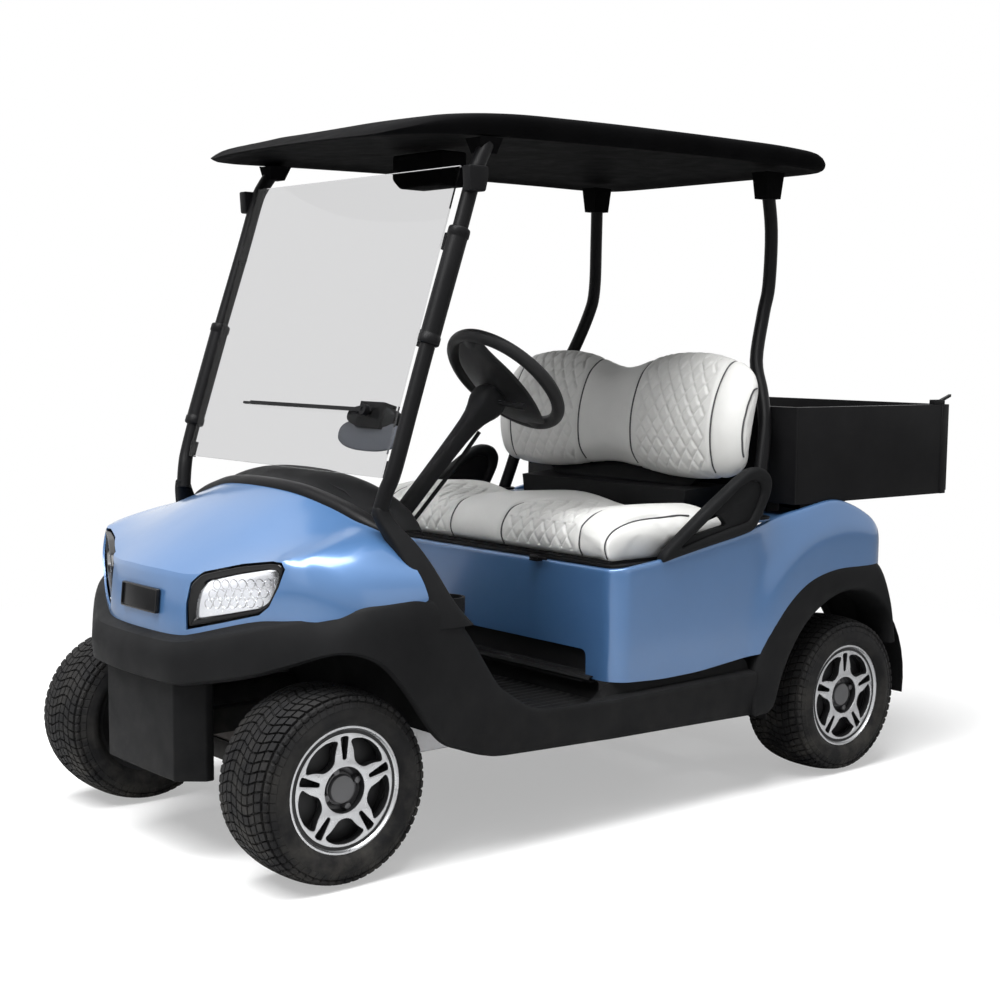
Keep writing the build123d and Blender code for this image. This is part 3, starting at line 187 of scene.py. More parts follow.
class Effects:
    """Shader groups that several finishes share, each built once."""

    def __init__(self) -> None:
        """Build each group once."""
        self.grain = self._grain()
        self.mottle = self._mottle()
        self.dust = self._dust()

    @staticmethod
    def _grain() -> bpy.types.NodeTree:
        """Fine moulded grain: a height that varies over the surface."""
        group, kit, entry, exit_ = new_group("moulded_grain", {"Scale": 900.0, "Depth": 1.0},
                                             {"Height": "float"})
        place = kit.add("ShaderNodeTexCoord")
        cells = kit.add("ShaderNodeTexVoronoi", feature="F1")
        noise = kit.add("ShaderNodeTexNoise", Detail_=3.0)
        mix = kit.add("ShaderNodeMath", operation="ADD")
        gain = kit.add("ShaderNodeMath", operation="MULTIPLY")
        for node in (cells, noise):
            kit.wire(place, "Object", node, "Vector")
            kit.wire(entry, "Scale", node, "Scale")
        kit.wire(cells, "Distance", mix, 0)
        kit.wire(noise, "Fac", mix, 1)
        kit.wire(mix, 0, gain, 0)
        kit.wire(entry, "Depth", gain, 1)
        kit.wire(gain, 0, exit_, "Height")
        return group

    @staticmethod
    def _mottle() -> bpy.types.NodeTree:
        """Slow variation between two limits, for colour and roughness."""
        group, kit, entry, exit_ = new_group("mottle", {"Scale": 6.0, "Low": 0.4, "High": 0.6},
                                             {"Value": "float"})
        place = kit.add("ShaderNodeTexCoord")
        noise = kit.add("ShaderNodeTexNoise", Detail_=5.0, Roughness_=0.6)
        span = kit.add("ShaderNodeMapRange", From__Min_=0.3, From__Max_=0.7)
        kit.wire(place, "Object", noise, "Vector")
        kit.wire(entry, "Scale", noise, "Scale")
        kit.wire(noise, "Fac", span, "Value")
        kit.wire(entry, "Low", span, "To Min")
        kit.wire(entry, "High", span, "To Max")
        kit.wire(span, "Result", exit_, "Value")
        return group

    @staticmethod
    def _dust() -> bpy.types.NodeTree:
        """Mask of road dust that gathers low down and in patches."""
        group, kit, entry, exit_ = new_group("road_dust", {"Top": 0.5, "Amount": 0.3},
                                             {"Mask": "float"})
        place = kit.add("ShaderNodeTexCoord")
        split = kit.add("ShaderNodeSeparateXYZ")
        fall = kit.add("ShaderNodeMapRange", From__Min_=0.0, To__Min_=1.0, To__Max_=0.0)
        noise = kit.add("ShaderNodeTexNoise", Scale_=14.0, Detail_=6.0, Roughness_=0.65)
        patch = kit.add("ShaderNodeMapRange", From__Min_=0.42, From__Max_=0.68)
        mix = kit.add("ShaderNodeMath", operation="MULTIPLY")
        gain = kit.add("ShaderNodeMath", operation="MULTIPLY", use_clamp=True)
        kit.wire(place, "Object", split, 0)
        kit.wire(split, "Z", fall, "Value")
        kit.wire(entry, "Top", fall, "From Max")
        kit.wire(place, "Object", noise, "Vector")
        kit.wire(noise, "Fac", patch, "Value")
        kit.wire(fall, "Result", mix, 0)
        kit.wire(patch, "Result", mix, 1)
        kit.wire(mix, 0, gain, 0)
        kit.wire(entry, "Amount", gain, 1)
        kit.wire(gain, 0, exit_, "Mask")
        return group


# ---------------------------------------------------------------- finishes
Colour = tuple[float, float, float, float]


def rgb(red: float, green: float, blue: float) -> Colour:
    """Opaque linear colour."""
    return (red, green, blue, 1.0)


WHITE = rgb(1.0, 1.0, 1.0)


@dataclass(frozen=True)
class Finish:
    """One surface finish, made as a node material.

    Mottle runs between colour and second; grain is a bump; dust lightens what lies low.
    """

    name: str
    colour: Colour
    second: Colour
    rough: tuple[float, float] = (0.5, 0.6)
    metallic: float = 0.0
    coat: float = 0.0
    coat_rough: float = 0.05
    grain_scale: float = 900.0
    grain_depth: float = 0.0
    mottle_scale: float = 6.0
    dust: float = 0.0
    dust_top: float = 0.5
    dust_colour: Colour = (0.16, 0.15, 0.13, 1.0)
    specular: float = 0.5

    def build(self, effects: Effects) -> bpy.types.Material:
        """Build the material.

        Args:
            effects: The shared shader groups.

        Returns:
            The finished material.
        """
        material, kit, shader = principled(self.name, {
            "Metallic": self.metallic, "Coat Weight": self.coat, "Coat Roughness": self.coat_rough,
            "Specular IOR Level": self.specular})
        blotch = kit.add("ShaderNodeGroup", node_tree=effects.mottle, Scale_=self.mottle_scale,
                         Low_=0.0, High_=1.0)
        tint = kit.add("ShaderNodeMix", data_type="RGBA")
        # the typed sockets of a Mix node share names, so they are reached by place
        tint.inputs[6].default_value = self.colour
        tint.inputs[7].default_value = self.second
        kit.wire(blotch, "Value", tint, 0)
        colour = tint.outputs[2]
        rough = kit.add("ShaderNodeGroup", node_tree=effects.mottle, Scale_=self.mottle_scale * 3,
                        Low_=self.rough[0], High_=self.rough[1])
        kit.wire(rough, "Value", shader, "Roughness")
        if self.dust:
            mask = kit.add("ShaderNodeGroup", node_tree=effects.dust, Top_=self.dust_top,
                           Amount_=self.dust)
            dirty = kit.add("ShaderNodeMix", data_type="RGBA")
            dirty.inputs[7].default_value = self.dust_colour
            kit.wire(mask, "Mask", dirty, 0)
            kit.link(colour, dirty.inputs[6])
            colour = dirty.outputs[2]
        kit.link(colour, shader.inputs["Base Color"])
        if self.grain_depth:
            grain = kit.add("ShaderNodeGroup", node_tree=effects.grain, Scale_=self.grain_scale,
                            Depth_=1.0)
            bump = kit.add("ShaderNodeBump", Strength_=self.grain_depth, Distance_=0.0006)
            kit.wire(grain, "Height", bump, "Height")
            kit.wire(bump, "Normal", shader, "Normal")
        return material


@dataclass(frozen=True)
class Glazing:
    """Clear sheet or lens with a plain tint."""

    name: str
    colour: Colour
    rough: float = 0.02
    transmission: float = 1.0
    ior: float = 1.45

    def build(self, effects: Effects) -> bpy.types.Material:
        """Build the material, its roughness varied by a shared group."""
        material, kit, shader = principled(self.name, {
            "Base Color": self.colour, "Transmission Weight": self.transmission, "IOR": self.ior})
        haze = kit.add("ShaderNodeGroup", node_tree=effects.mottle, Scale_=9.0, Low_=self.rough,
                       High_=self.rough * 2)
        kit.wire(haze, "Value", shader, "Roughness")
        return material


FINISHES = {
    Slot.TYRE: Finish("tyre rubber", rgb(0.0065, 0.0065, 0.007), rgb(0.0115, 0.0115, 0.0122),
                      rough=(0.62, 0.78), grain_depth=0.35, grain_scale=1400, dust=0.22,
                      dust_top=0.5, specular=0.12),
    Slot.RIM: Finish("machined alloy", rgb(0.40, 0.405, 0.415), rgb(0.47, 0.475, 0.485),
                     rough=(0.24, 0.36), metallic=1.0, mottle_scale=20),
    Slot.PAINT: Finish("metallic blue", rgb(0.055, 0.135, 0.290), rgb(0.062, 0.148, 0.315),
                       rough=(0.30, 0.36), metallic=0.35, coat=0.9, coat_rough=0.13,
                       grain_scale=5200, grain_depth=0.03, mottle_scale=3),
    Slot.PLASTIC: Finish("charcoal moulding", rgb(0.0065, 0.0067, 0.0072),
                         rgb(0.0105, 0.0107, 0.0113), rough=(0.50, 0.62), grain_depth=0.30,
                         dust=0.05, specular=0.06),
    Slot.BLACK: Finish("satin black powder coat", rgb(0.0045, 0.0045, 0.005),
                       rgb(0.0075, 0.0075, 0.008), rough=(0.34, 0.44), grain_depth=0.12,
                       grain_scale=1600, specular=0.08),
    Slot.CANOPY: Finish("canopy black", rgb(0.0030, 0.0030, 0.0032), rgb(0.0046, 0.0046, 0.0049),
                        rough=(0.50, 0.62), grain_depth=0.20, specular=0.004),
    Slot.CASTING: Finish("painted casting", rgb(0.014, 0.014, 0.015), rgb(0.026, 0.025, 0.024),
                         rough=(0.55, 0.75), grain_depth=0.7, grain_scale=420, dust=0.2,
                         specular=0.1),
    Slot.FRAME: Finish("mill finish extrusion", rgb(0.36, 0.36, 0.37), rgb(0.46, 0.46, 0.47),
                       rough=(0.38, 0.55), metallic=0.9, grain_depth=0.15, grain_scale=500,
                       dust=0.35),
    Slot.SPRING: Finish("oiled spring steel", rgb(0.06, 0.058, 0.056), rgb(0.10, 0.09, 0.085),
                        rough=(0.40, 0.62), metallic=0.9, grain_depth=0.2, dust=0.3),
    Slot.LEATHER: Finish("pale grey leather", rgb(0.60, 0.60, 0.585), rgb(0.68, 0.68, 0.665),
                         rough=(0.42, 0.52), grain_depth=0.35, grain_scale=700, mottle_scale=4),
    Slot.BEZEL: Finish("gloss black bezel", rgb(0.003, 0.003, 0.0035), rgb(0.004, 0.004, 0.0045),
                       rough=(0.16, 0.22), coat=0.15, specular=0.2),
    Slot.RED: Finish("red lens", rgb(0.42, 0.012, 0.012), rgb(0.50, 0.02, 0.02),
                     rough=(0.12, 0.2), coat=0.8),
    Slot.GRIP: Finish("soft black grip", rgb(0.0085, 0.0085, 0.009), rgb(0.013, 0.013, 0.0135),
                      rough=(0.45, 0.58), grain_depth=0.30, grain_scale=1500, specular=0.15),
    Slot.BATTERY: Finish("battery case", rgb(0.03, 0.03, 0.032), rgb(0.045, 0.045, 0.047),
                         rough=(0.5, 0.65), grain_depth=0.3),
    Slot.GLASS: Glazing("windscreen glass", rgb(0.69, 0.69, 0.695), ior=1.12),
    Slot.LENS: Glazing("lamp lens", rgb(0.97, 0.98, 1.0), rough=0.01),
}


EXTRAS = {
    # painted shade: a dark copy of the casting for the rim's pocket walls, barrel and hub dish
    "rim painted shade": Finish("casting in painted shade", rgb(0.018, 0.018, 0.019), rgb(0.028, 0.028, 0.029),
                         rough=(0.45, 0.6), metallic=0.3, specular=0.25),
    "hub grey": Finish("grey hub cap", rgb(0.075, 0.075, 0.078), rgb(0.095, 0.095, 0.10),
                       rough=(0.35, 0.5), metallic=0.3),
    "dark piping": Finish("dark piping", rgb(0.035, 0.035, 0.038), rgb(0.05, 0.05, 0.053),
                          rough=(0.5, 0.6), grain_depth=0.2),
    # the frame's alloy darkened as painted shade for the front rails under the nose; its dust is
    # real dust
    "frame in painted shade": Finish("extrusion in painted shade", rgb(0.012, 0.012, 0.012), rgb(0.020, 0.020, 0.020),
                         rough=(0.5, 0.7), grain_depth=0.3, dust=0.2, specular=0.1),
    "plate grey": Finish("slate plate", rgb(0.060, 0.066, 0.080), rgb(0.075, 0.082, 0.097),
                         rough=(0.5, 0.6), grain_depth=0.15),
    "bright bowl": Finish("bright bowl", rgb(0.80, 0.80, 0.81), rgb(0.88, 0.88, 0.89),
                          rough=(0.10, 0.18), metallic=0.9),
}


class Palette:
    """All finishes as materials, by slot."""

    def __init__(self) -> None:
        """Build every finish."""
        effects = Effects()
        self.materials = {slot: finish.build(effects) for slot, finish in FINISHES.items()}
        self.extra = {name: finish.build(effects) for name, finish in EXTRAS.items()}

    @staticmethod
    def _coat(piece: Piece, material: bpy.types.Material) -> None:
        """Leave one material on a piece."""
        piece.data.materials.clear()
        piece.data.materials.append(material)

    def dress(self, piece: Piece, slot: Slot, extra: str | None = None) -> None:
        """Give a new piece one finish all over and tell the frame its slot.

        Args:
            piece: The new piece.
            slot: Its slot in the record.
            extra: An extra finish to show in place of the slot's own.
        """
        self._coat(piece, self.extra[extra] if extra else self.materials[slot])
        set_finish(piece, slot.value)

    def dress_frame(self, frame: dict) -> None:
        """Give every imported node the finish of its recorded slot."""
        slots = {part["node"]: part["material_slot"] for part in frame["record"]["subparts"]}
        for name, node in frame["nodes"].items():
            self._coat(node, self.materials[Slot(slots[name])])


# ---------------------------------------------------------------- studio
@dataclass(frozen=True)
class Studio:
    """Camera, lamps, floor and the pale surroundings."""

    camera_at: tuple[float, float, float] = (3.4555, -2.9109, 1.1895)
    azimuth: float = 48.724
    look_down: float = 6.634
    roll: float = 0.758
    lens: float = 58.89
    shift: tuple[float, float] = (-0.0547, 0.0374)
    ambient: float = 0.29
    floor_glow: float = 0.40
    # distances from the middle between which the floor fades to white
    fade: tuple[float, float] = (1.9, 3.6)
    # name, place, aim, size and power
    lamps: tuple = (
        ("overhead", (0.5, -1.0, 5.0), (0, 0, 0.7), 3.6, 470),
        ("hood light", (0.6, -3.6, 4.4), (0, -0.9, 0.7), 2.2, 220),
        ("nose fill", (1.5, -5.5, 2.6), (0, -0.6, 0.5), 2.4, 14),
        ("side fill", (5.2, 0.6, 1.6), (0, 0, 0.6), 2.4, 10),
    )

    def build(self) -> None:
        """Make everything that isn't the cart."""
        self._camera()
        self._floor()
        self._surroundings()
        for lamp in self.lamps:
            self._lamp(*lamp)
        bpy.context.scene.view_settings.view_transform = "Standard"

    def _camera(self) -> None:
        """Camera at the solved place and angle."""
        data = bpy.data.cameras.new("camera")
        camera = bpy.data.objects.new("camera", data)
        bpy.context.scene.collection.objects.link(camera)
        a, e, r = (math.radians(v) for v in (self.azimuth, self.look_down, self.roll))
        right = Vector((math.cos(a), math.sin(a), 0))
        ahead = Vector((-math.sin(a) * math.cos(e), math.cos(a) * math.cos(e), -math.sin(e)))
        up = right.cross(ahead)
        across = right * math.cos(r) + up * math.sin(r)
        above = up * math.cos(r) - right * math.sin(r)
        turn = Matrix((across, above, -ahead)).transposed()
        camera.matrix_world = Matrix.Translation(self.camera_at) @ turn.to_4x4()
        data.lens = self.lens
        data.sensor_width = 36.0
        data.shift_x, data.shift_y = self.shift
        data.clip_end = 200
        bpy.context.scene.camera = camera

    @staticmethod
    def _white(kit: NodeKit, plain: bpy.types.NodeSocket, output: bpy.types.NodeSocket) -> None:
        """Show plain white to the camera and to gloss and glass, and the plain shader otherwise."""
        path = kit.add("ShaderNodeLightPath")
        first = kit.add("ShaderNodeMath", operation="MAXIMUM")
        either = kit.add("ShaderNodeMath", operation="MAXIMUM")
        kit.wire(path, "Is Camera Ray", first, 0)
        kit.wire(path, "Is Glossy Ray", first, 1)
        kit.wire(first, 0, either, 0)
        kit.wire(path, "Is Transmission Ray", either, 1)
        white = kit.add("ShaderNodeBackground", Strength_=1.0, Color_=WHITE)
        mix = kit.add("ShaderNodeMixShader")
        kit.wire(either, 0, mix, 0)
        kit.link(plain, mix.inputs[1])
        kit.wire(white, 0, mix, 2)
        kit.link(mix.outputs[0], output)

    def _surroundings(self) -> None:
        """World that is white to look at and dimmer as a light."""
        world = bpy.data.worlds.new("surroundings")
        bpy.context.scene.world = world
        world.use_nodes = True
        kit = NodeKit(world.node_tree)
        plain = world.node_tree.nodes["Background"]
        plain.inputs["Color"].default_value = WHITE
        plain.inputs["Strength"].default_value = self.ambient
        output = world.node_tree.nodes["World Output"].inputs["Surface"]
        self._white(kit, plain.outputs[0], output)

    def _floor(self) -> None:
        """Pale floor that keeps the cart's shadow."""
        bpy.ops.mesh.primitive_plane_add(size=60, location=(0, 0, 0))
        floor = bpy.context.object
        floor.name = "floor"
        material, kit, shader = principled("pale floor", {
            "Base Color": rgb(0.60, 0.60, 0.60), "Roughness": 0.9, "Specular IOR Level": 0.1,
            "Emission Color": WHITE})
        path = kit.add("ShaderNodeLightPath")
        gain = kit.add("ShaderNodeMath", operation="MULTIPLY")
        gain.inputs[1].default_value = self.floor_glow
        kit.wire(gain, 0, shader, "Emission Strength")
        place = kit.add("ShaderNodeTexCoord")
        reach = kit.add("ShaderNodeVectorMath", operation="LENGTH")
        fade = kit.add("ShaderNodeMapRange", interpolation_type="SMOOTHSTEP",
                       From__Min_=self.fade[0], From__Max_=self.fade[1])
        seen = kit.add("ShaderNodeMath", operation="MAXIMUM")
        share = kit.add("ShaderNodeMath", operation="MULTIPLY")
        white = kit.add("ShaderNodeEmission", Strength_=1.0, Color_=WHITE)
        mix = kit.add("ShaderNodeMixShader")
        kit.wire(place, "Object", reach, 0)
        kit.wire(reach, "Value", fade, "Value")
        kit.wire(path, "Is Camera Ray", seen, 0)
        kit.wire(path, "Is Transmission Ray", seen, 1)
        kit.wire(seen, 0, gain, 0)
        kit.wire(fade, "Result", share, 0)
        kit.wire(seen, 0, share, 1)
        kit.wire(share, 0, mix, 0)
        kit.wire(shader, 0, mix, 1)
        kit.wire(white, 0, mix, 2)
        kit.link(mix.outputs[0], material.node_tree.nodes["Material Output"].inputs["Surface"])
        floor.data.materials.append(material)

    @staticmethod
    def _lamp(name: str, place: Point, aim: Point, size: float, power: float) -> None:
        """One soft square lamp aimed at a point."""
        data = bpy.data.lights.new(name, "AREA")
        data.size = size
        data.energy = power
        lamp = bpy.data.objects.new(name, data)
        bpy.context.scene.collection.objects.link(lamp)
        lamp.location = place
        lamp.rotation_mode = "QUATERNION"
        lamp.rotation_quaternion = (Vector(aim) - Vector(place)).to_track_quat("-Z", "Y")


# ---------------------------------------------------------------- modelling helpers
class Bench:
    """Modelling moves that every sub-assembly uses, each on one object at a time."""

    @staticmethod
    def clear() -> None:
        """Deselect everything, so that an operator acts on the new piece alone."""
        bpy.ops.object.select_all(action="DESELECT")

    @classmethod
    def take(cls, piece: Piece) -> Piece:
        """Select one piece and make it active."""
        cls.clear()
        piece.select_set(True)
        bpy.context.view_layer.objects.active = piece
        return piece

    @classmethod
    def edit(cls, piece: Piece, chosen: Callable[[bpy.types.MeshPolygon], bool],
             work: Callable[[], None]) -> None:
        """Run edit-mode operators on the faces that a test picks.

        Args:
            piece: The piece to work on.
            chosen: Test of one face, by its place or normal.
            work: The operators to run.
        """
        cls.take(piece)
        for polygon in piece.data.polygons:
            polygon.select = chosen(polygon)
        picked = {v for polygon in piece.data.polygons if polygon.select for v in polygon.vertices}
        for vertex in piece.data.vertices:
            vertex.select = vertex.index in picked
        for edge in piece.data.edges:
            edge.select = all(v in picked for v in edge.vertices)
        bpy.ops.object.mode_set(mode="EDIT")
        bpy.ops.mesh.select_mode(type="FACE")
        work()
        bpy.ops.object.mode_set(mode="OBJECT")

    @classmethod
    def modify(cls, piece: Piece, kind: str, **values: object) -> None:
        """Add one modifier, set it and apply it."""
        cls.take(piece)
        modifier = piece.modifiers.new(kind.lower(), kind)
        for key, value in values.items():
            setattr(modifier, key, value)
        bpy.ops.object.modifier_apply(modifier=modifier.name)

    @classmethod
    def subdivide(cls, piece: Piece, levels: int) -> None:
        """Smooth a piece by subdivision, the same for view and render."""
        cls.modify(piece, "SUBSURF", levels=levels, render_levels=levels)

    @classmethod
    def thicken(cls, piece: Piece, wall: float) -> None:
        """Give a skin its wall, inwards from the face."""
        cls.modify(piece, "SOLIDIFY", thickness=wall, offset=-1.0)

    @classmethod
    def merge(cls, piece: Piece, reach: float = 0.0002, outward: bool = False) -> None:
        """Merge doubled vertices and, if asked, turn all faces outwards."""
        cls.take(piece)
        bpy.ops.object.mode_set(mode="EDIT")
        bpy.ops.mesh.select_all(action="SELECT")
        bpy.ops.mesh.remove_doubles(threshold=reach)
        if outward:
            bpy.ops.mesh.normals_make_consistent(inside=False)
        bpy.ops.object.mode_set(mode="OBJECT")

    @classmethod
    def cut(cls, piece: Piece, cutter: Piece) -> None:
        """Cut one piece by another, which is then removed."""
        cls.modify(piece, "BOOLEAN", object=cutter, solver="EXACT")
        bpy.data.objects.remove(cutter)

    @classmethod
    def cap_ends(cls, form: Piece) -> None:
        """Close the two ends of a form whose rows run across the cart."""
        cls.take(form)
        bpy.ops.object.mode_set(mode="EDIT")
        bpy.ops.mesh.select_all(action="DESELECT")
        bpy.ops.mesh.select_mode(type="EDGE")
        bpy.ops.mesh.select_non_manifold()
        bpy.ops.mesh.fill_holes(sides=0)
        bpy.ops.mesh.select_all(action="SELECT")
        bpy.ops.mesh.normals_make_consistent(inside=False)
        bpy.ops.object.mode_set(mode="OBJECT")

    @classmethod
    def smooth(cls, piece: Piece, degrees: float = 35.0) -> None:
        """Shade smooth, with edges sharper than an angle kept."""
        cls.take(piece)
        bpy.ops.object.shade_smooth_by_angle(angle=math.radians(degrees))

    @classmethod
    def join(cls, name: str, parts: Sequence[Piece]) -> Piece:
        """Join several objects into one with its place in its mesh."""
        cls.clear()
        for part in parts:
            part.select_set(True)
        bpy.context.view_layer.objects.active = parts[0]
        if len(parts) > 1:
            bpy.ops.object.join()
        piece = bpy.context.object
        piece.name = name
        piece.data.name = name
        bpy.ops.object.transform_apply(location=True, rotation=True, scale=True)
        return piece

    @classmethod
    def copy(cls, piece: Piece, name: str, move: Matrix) -> Piece:
        """Copy a piece with a mesh of its own, moved; a mirrored copy is turned right side out."""
        twin = piece.copy()
        twin.data = piece.data.copy()
        twin.name = name
        bpy.context.scene.collection.objects.link(twin)
        twin.data.transform(move)
        if move.determinant() < 0:
            twin.data.flip_normals()
        return twin

    @classmethod
    def lay(cls, name: str, rows: Sequence[Sequence[Vector]], closed: bool = False,
            facing: Point | None = None) -> Piece:
        """Lay a grid over rows of points, as a sheet or as a tube.

        Args:
            name: The piece's name.
            rows: Rows of equally many points, in metres.
            closed: Whether each row joins up with its own start.
            facing: A point inside; faces are turned away from it.

        Returns:
            The new piece.
        """
        table = [list(row) + ([row[0]] if closed else []) for row in rows]
        across, along = len(table[0]), len(table)
        cls.clear()
        bpy.ops.mesh.primitive_grid_add(x_subdivisions=across - 1, y_subdivisions=along - 1, size=2)
        piece = bpy.context.object
        piece.name = name
        piece.data.name = name
        for vertex in piece.data.vertices:
            column = round((vertex.co.x + 1) / 2 * (across - 1))
            row = round((vertex.co.y + 1) / 2 * (along - 1))
            vertex.co = table[row][column]
        cls.merge(piece)
        if facing is not None:
            middle = Vector(facing)
            vote = sum((p.center - middle).dot(p.normal) * p.area for p in piece.data.polygons)
            if vote < 0:
                piece.data.flip_normals()
        return piece

    @classmethod
    def crease(cls, piece: Piece, weigh: Callable[[Vector, Vector], float]) -> None:
        """Set each edge's crease for a later subdivision from its two ends."""
        layer = piece.data.attributes.get("crease_edge")
        if layer is None:
            layer = piece.data.attributes.new("crease_edge", "FLOAT", "EDGE")
        vertices = piece.data.vertices
        for edge in piece.data.edges:
            layer.data[edge.index].value = weigh(vertices[edge.vertices[0]].co,
                                                 vertices[edge.vertices[1]].co)

    @classmethod
    def sweep(cls, name: str, points: Sequence[Vector], radius: float, sides: int = 12,
              closed: bool = False) -> Piece:
        """Round bar along a smooth line through points, as a mesh."""
        data = bpy.data.curves.new(name, "CURVE")
        data.dimensions = "3D"
        data.bevel_depth = radius
        data.bevel_resolution = max(1, sides // 4 - 1)
        data.use_fill_caps = True
        spline = data.splines.new("POLY" if len(points) > 12 or len(points) < 3 else "NURBS")
        spline.points.add(len(points) - 1)
        for knot, point in zip(spline.points, points):
            knot.co = (*point, 1.0)
        if spline.type == "NURBS":
            spline.order_u = 3
            spline.use_endpoint_u = True
            spline.resolution_u = 6
        spline.use_cyclic_u = closed
        bar = bpy.data.objects.new(name, data)
        bpy.context.scene.collection.objects.link(bar)
        cls.take(bar)
        bpy.ops.object.convert(target="MESH")
        bar = bpy.context.object
        cls.smooth(bar, 50)
        return bar

    @classmethod
    def plate(cls, name: str, outlines: Sequence[Outline], place: Matrix,
              thick: float, bevel: float = 0.0, segments: int = 2) -> Piece:
        """Flat plate cut to a closed outline with holes, its edges rounded.

        Args:
            name: The piece's name.
            outlines: The outer outline, then any holes, in metres.
            place: The plate's plane; its thickness is centred on it.
            thick: Thickness in metres.
            bevel: Radius of the rounded edges.
            segments: Steps in each rounded edge.

        Returns:
            The plate as a mesh.
        """
        data = bpy.data.curves.new(name, "CURVE")
        data.dimensions = "2D"
        data.fill_mode = "BOTH"
        data.extrude = thick / 2 - bevel
        data.bevel_depth = bevel
        data.bevel_resolution = segments - 1
        data.offset = -bevel
        for outline in outlines:
            spline = data.splines.new("POLY")
            spline.points.add(len(outline) - 1)
            for knot, (u, v) in zip(spline.points, outline):
                knot.co = (u, v, 0, 1)
            spline.use_cyclic_u = True
        sheet = bpy.data.objects.new(name, data)
        bpy.context.scene.collection.objects.link(sheet)
        cls.take(sheet)
        bpy.ops.object.convert(target="MESH")
        sheet = bpy.context.object
        sheet.data.transform(place)
        cls.merge(sheet, 0.00005, outward=True)
        cls.smooth(sheet, 40)
        return sheet


def mirror_x() -> Matrix:
    """Reflection across the cart's middle."""
    return Matrix.Scale(-1, 4, (1, 0, 0))


def blend_rows(rows: Sequence[Sequence[Vector]], steps: int) -> list[list[Vector]]:
    """Fill in rows between given ones along smooth Catmull-Rom lines.

    Args:
        rows: Rows of equally many points.
        steps: Parts that each gap is divided into.

    Returns:
        The denser rows, with the given ones among them.
    """
    dense = []
    last = len(rows) - 1
    for index in range(last):
        before, start = rows[max(index - 1, 0)], rows[index]
        end, after = rows[index + 1], rows[min(index + 2, last)]
        for step in range(steps):
            t = step / steps
            dense.append([catmull(a, b, c, d, t) for a, b, c, d in zip(before, start, end, after)])
    dense.append(list(rows[last]))
    return dense


def catmull(a: Vector, b: Vector, c: Vector, d: Vector, t: float) -> Vector:
    """Point on the Catmull-Rom line from b to c."""
    return 0.5 * ((2 * b) + (c - a) * t + (2 * a - 5 * b + 4 * c - d) * t * t
                  + (3 * b - a - 3 * c + d) * t * t * t)


def smooth_line(points: Sequence[Vector], steps: int) -> list[Vector]:
    """Fill in points along a smooth line through the given ones."""
    return [row[0] for row in blend_rows([[point] for point in points], steps)]


def both_sides(half: list[list[Vector]]) -> list[list[Vector]]:
    """Rows right across the cart from those of its left half, which start at the middle."""
    return [[Vector((-p.x, p.y, p.z)) for p in row] for row in reversed(half[1:])] + half


def circle(radius: float, steps: int) -> list[tuple[float, float]]:
    """Points round a circle."""
    turns = [2 * math.pi * step / steps for step in range(steps)]
    return [(radius * math.cos(turn), radius * math.sin(turn)) for turn in turns]


def squared_ring(steps: int, power_u: float, power_v: float) -> list[tuple[float, float]]:
    """Points round a unit circle, squared off by powers below 1."""
    return [(math.copysign(abs(c) ** power_u, c), math.copysign(abs(s) ** power_v, s))
            for c, s in circle(1.0, steps)]


def rectangle(left: float, right: float, low: float, high: float) -> list[tuple[float, float]]:
    """Outline of a rectangle."""
    return [(left, low), (right, low), (right, high), (left, high)]


def side_on(x: float, y: float = 0.0, z: float = 0.0) -> Matrix:
    """Plane that faces along X, for outlines of (y, z)."""
    return Matrix(((0, 0, 1, x), (1, 0, 0, y), (0, 1, 0, z), (0, 0, 0, 1)))


def round_corners(points: Outline, radius: float, steps: int = 4) -> list:
    """Round every corner of a closed outline."""
    rounded = []
    count = len(points)
    for index, point in enumerate(points):
        here = Vector(point)
        back = Vector(points[index - 1]) - here
        ahead = Vector(points[(index + 1) % count]) - here
        cut = min(radius, back.length * 0.45, ahead.length * 0.45)
        start, end = here + back.normalized() * cut, here + ahead.normalized() * cut
        for step in range(steps + 1):
            t = step / steps
            spot = start.lerp(here, t).lerp(here.lerp(end, t), t)
            rounded.append((spot.x, spot.y))
    return rounded


def ease(value: float, low: float, high: float) -> float:
    """Smooth step from 0 at low to 1 at high."""
    t = min(max((value - low) / (high - low), 0.0), 1.0)
    return t * t * (3 - 2 * t)


def lerp_table(table: Outline, value: float) -> float:
    """Straight interpolation in a table of (place, amount)."""
    if value <= table[0][0]:
        return table[0][1]
    for (a, low), (b, high) in zip(table, table[1:]):
        if value <= b:
            return low + (high - low) * (value - a) / (b - a)
    return table[-1][1]


@dataclass
class Assembly:
    """One sub-assembly, which makes its pieces and gives them to the frame."""

    palette: Palette

    def build(self, frame: dict) -> None:
        """Make the pieces.

        Args:
            frame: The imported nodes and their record.
        """
        raise NotImplementedError


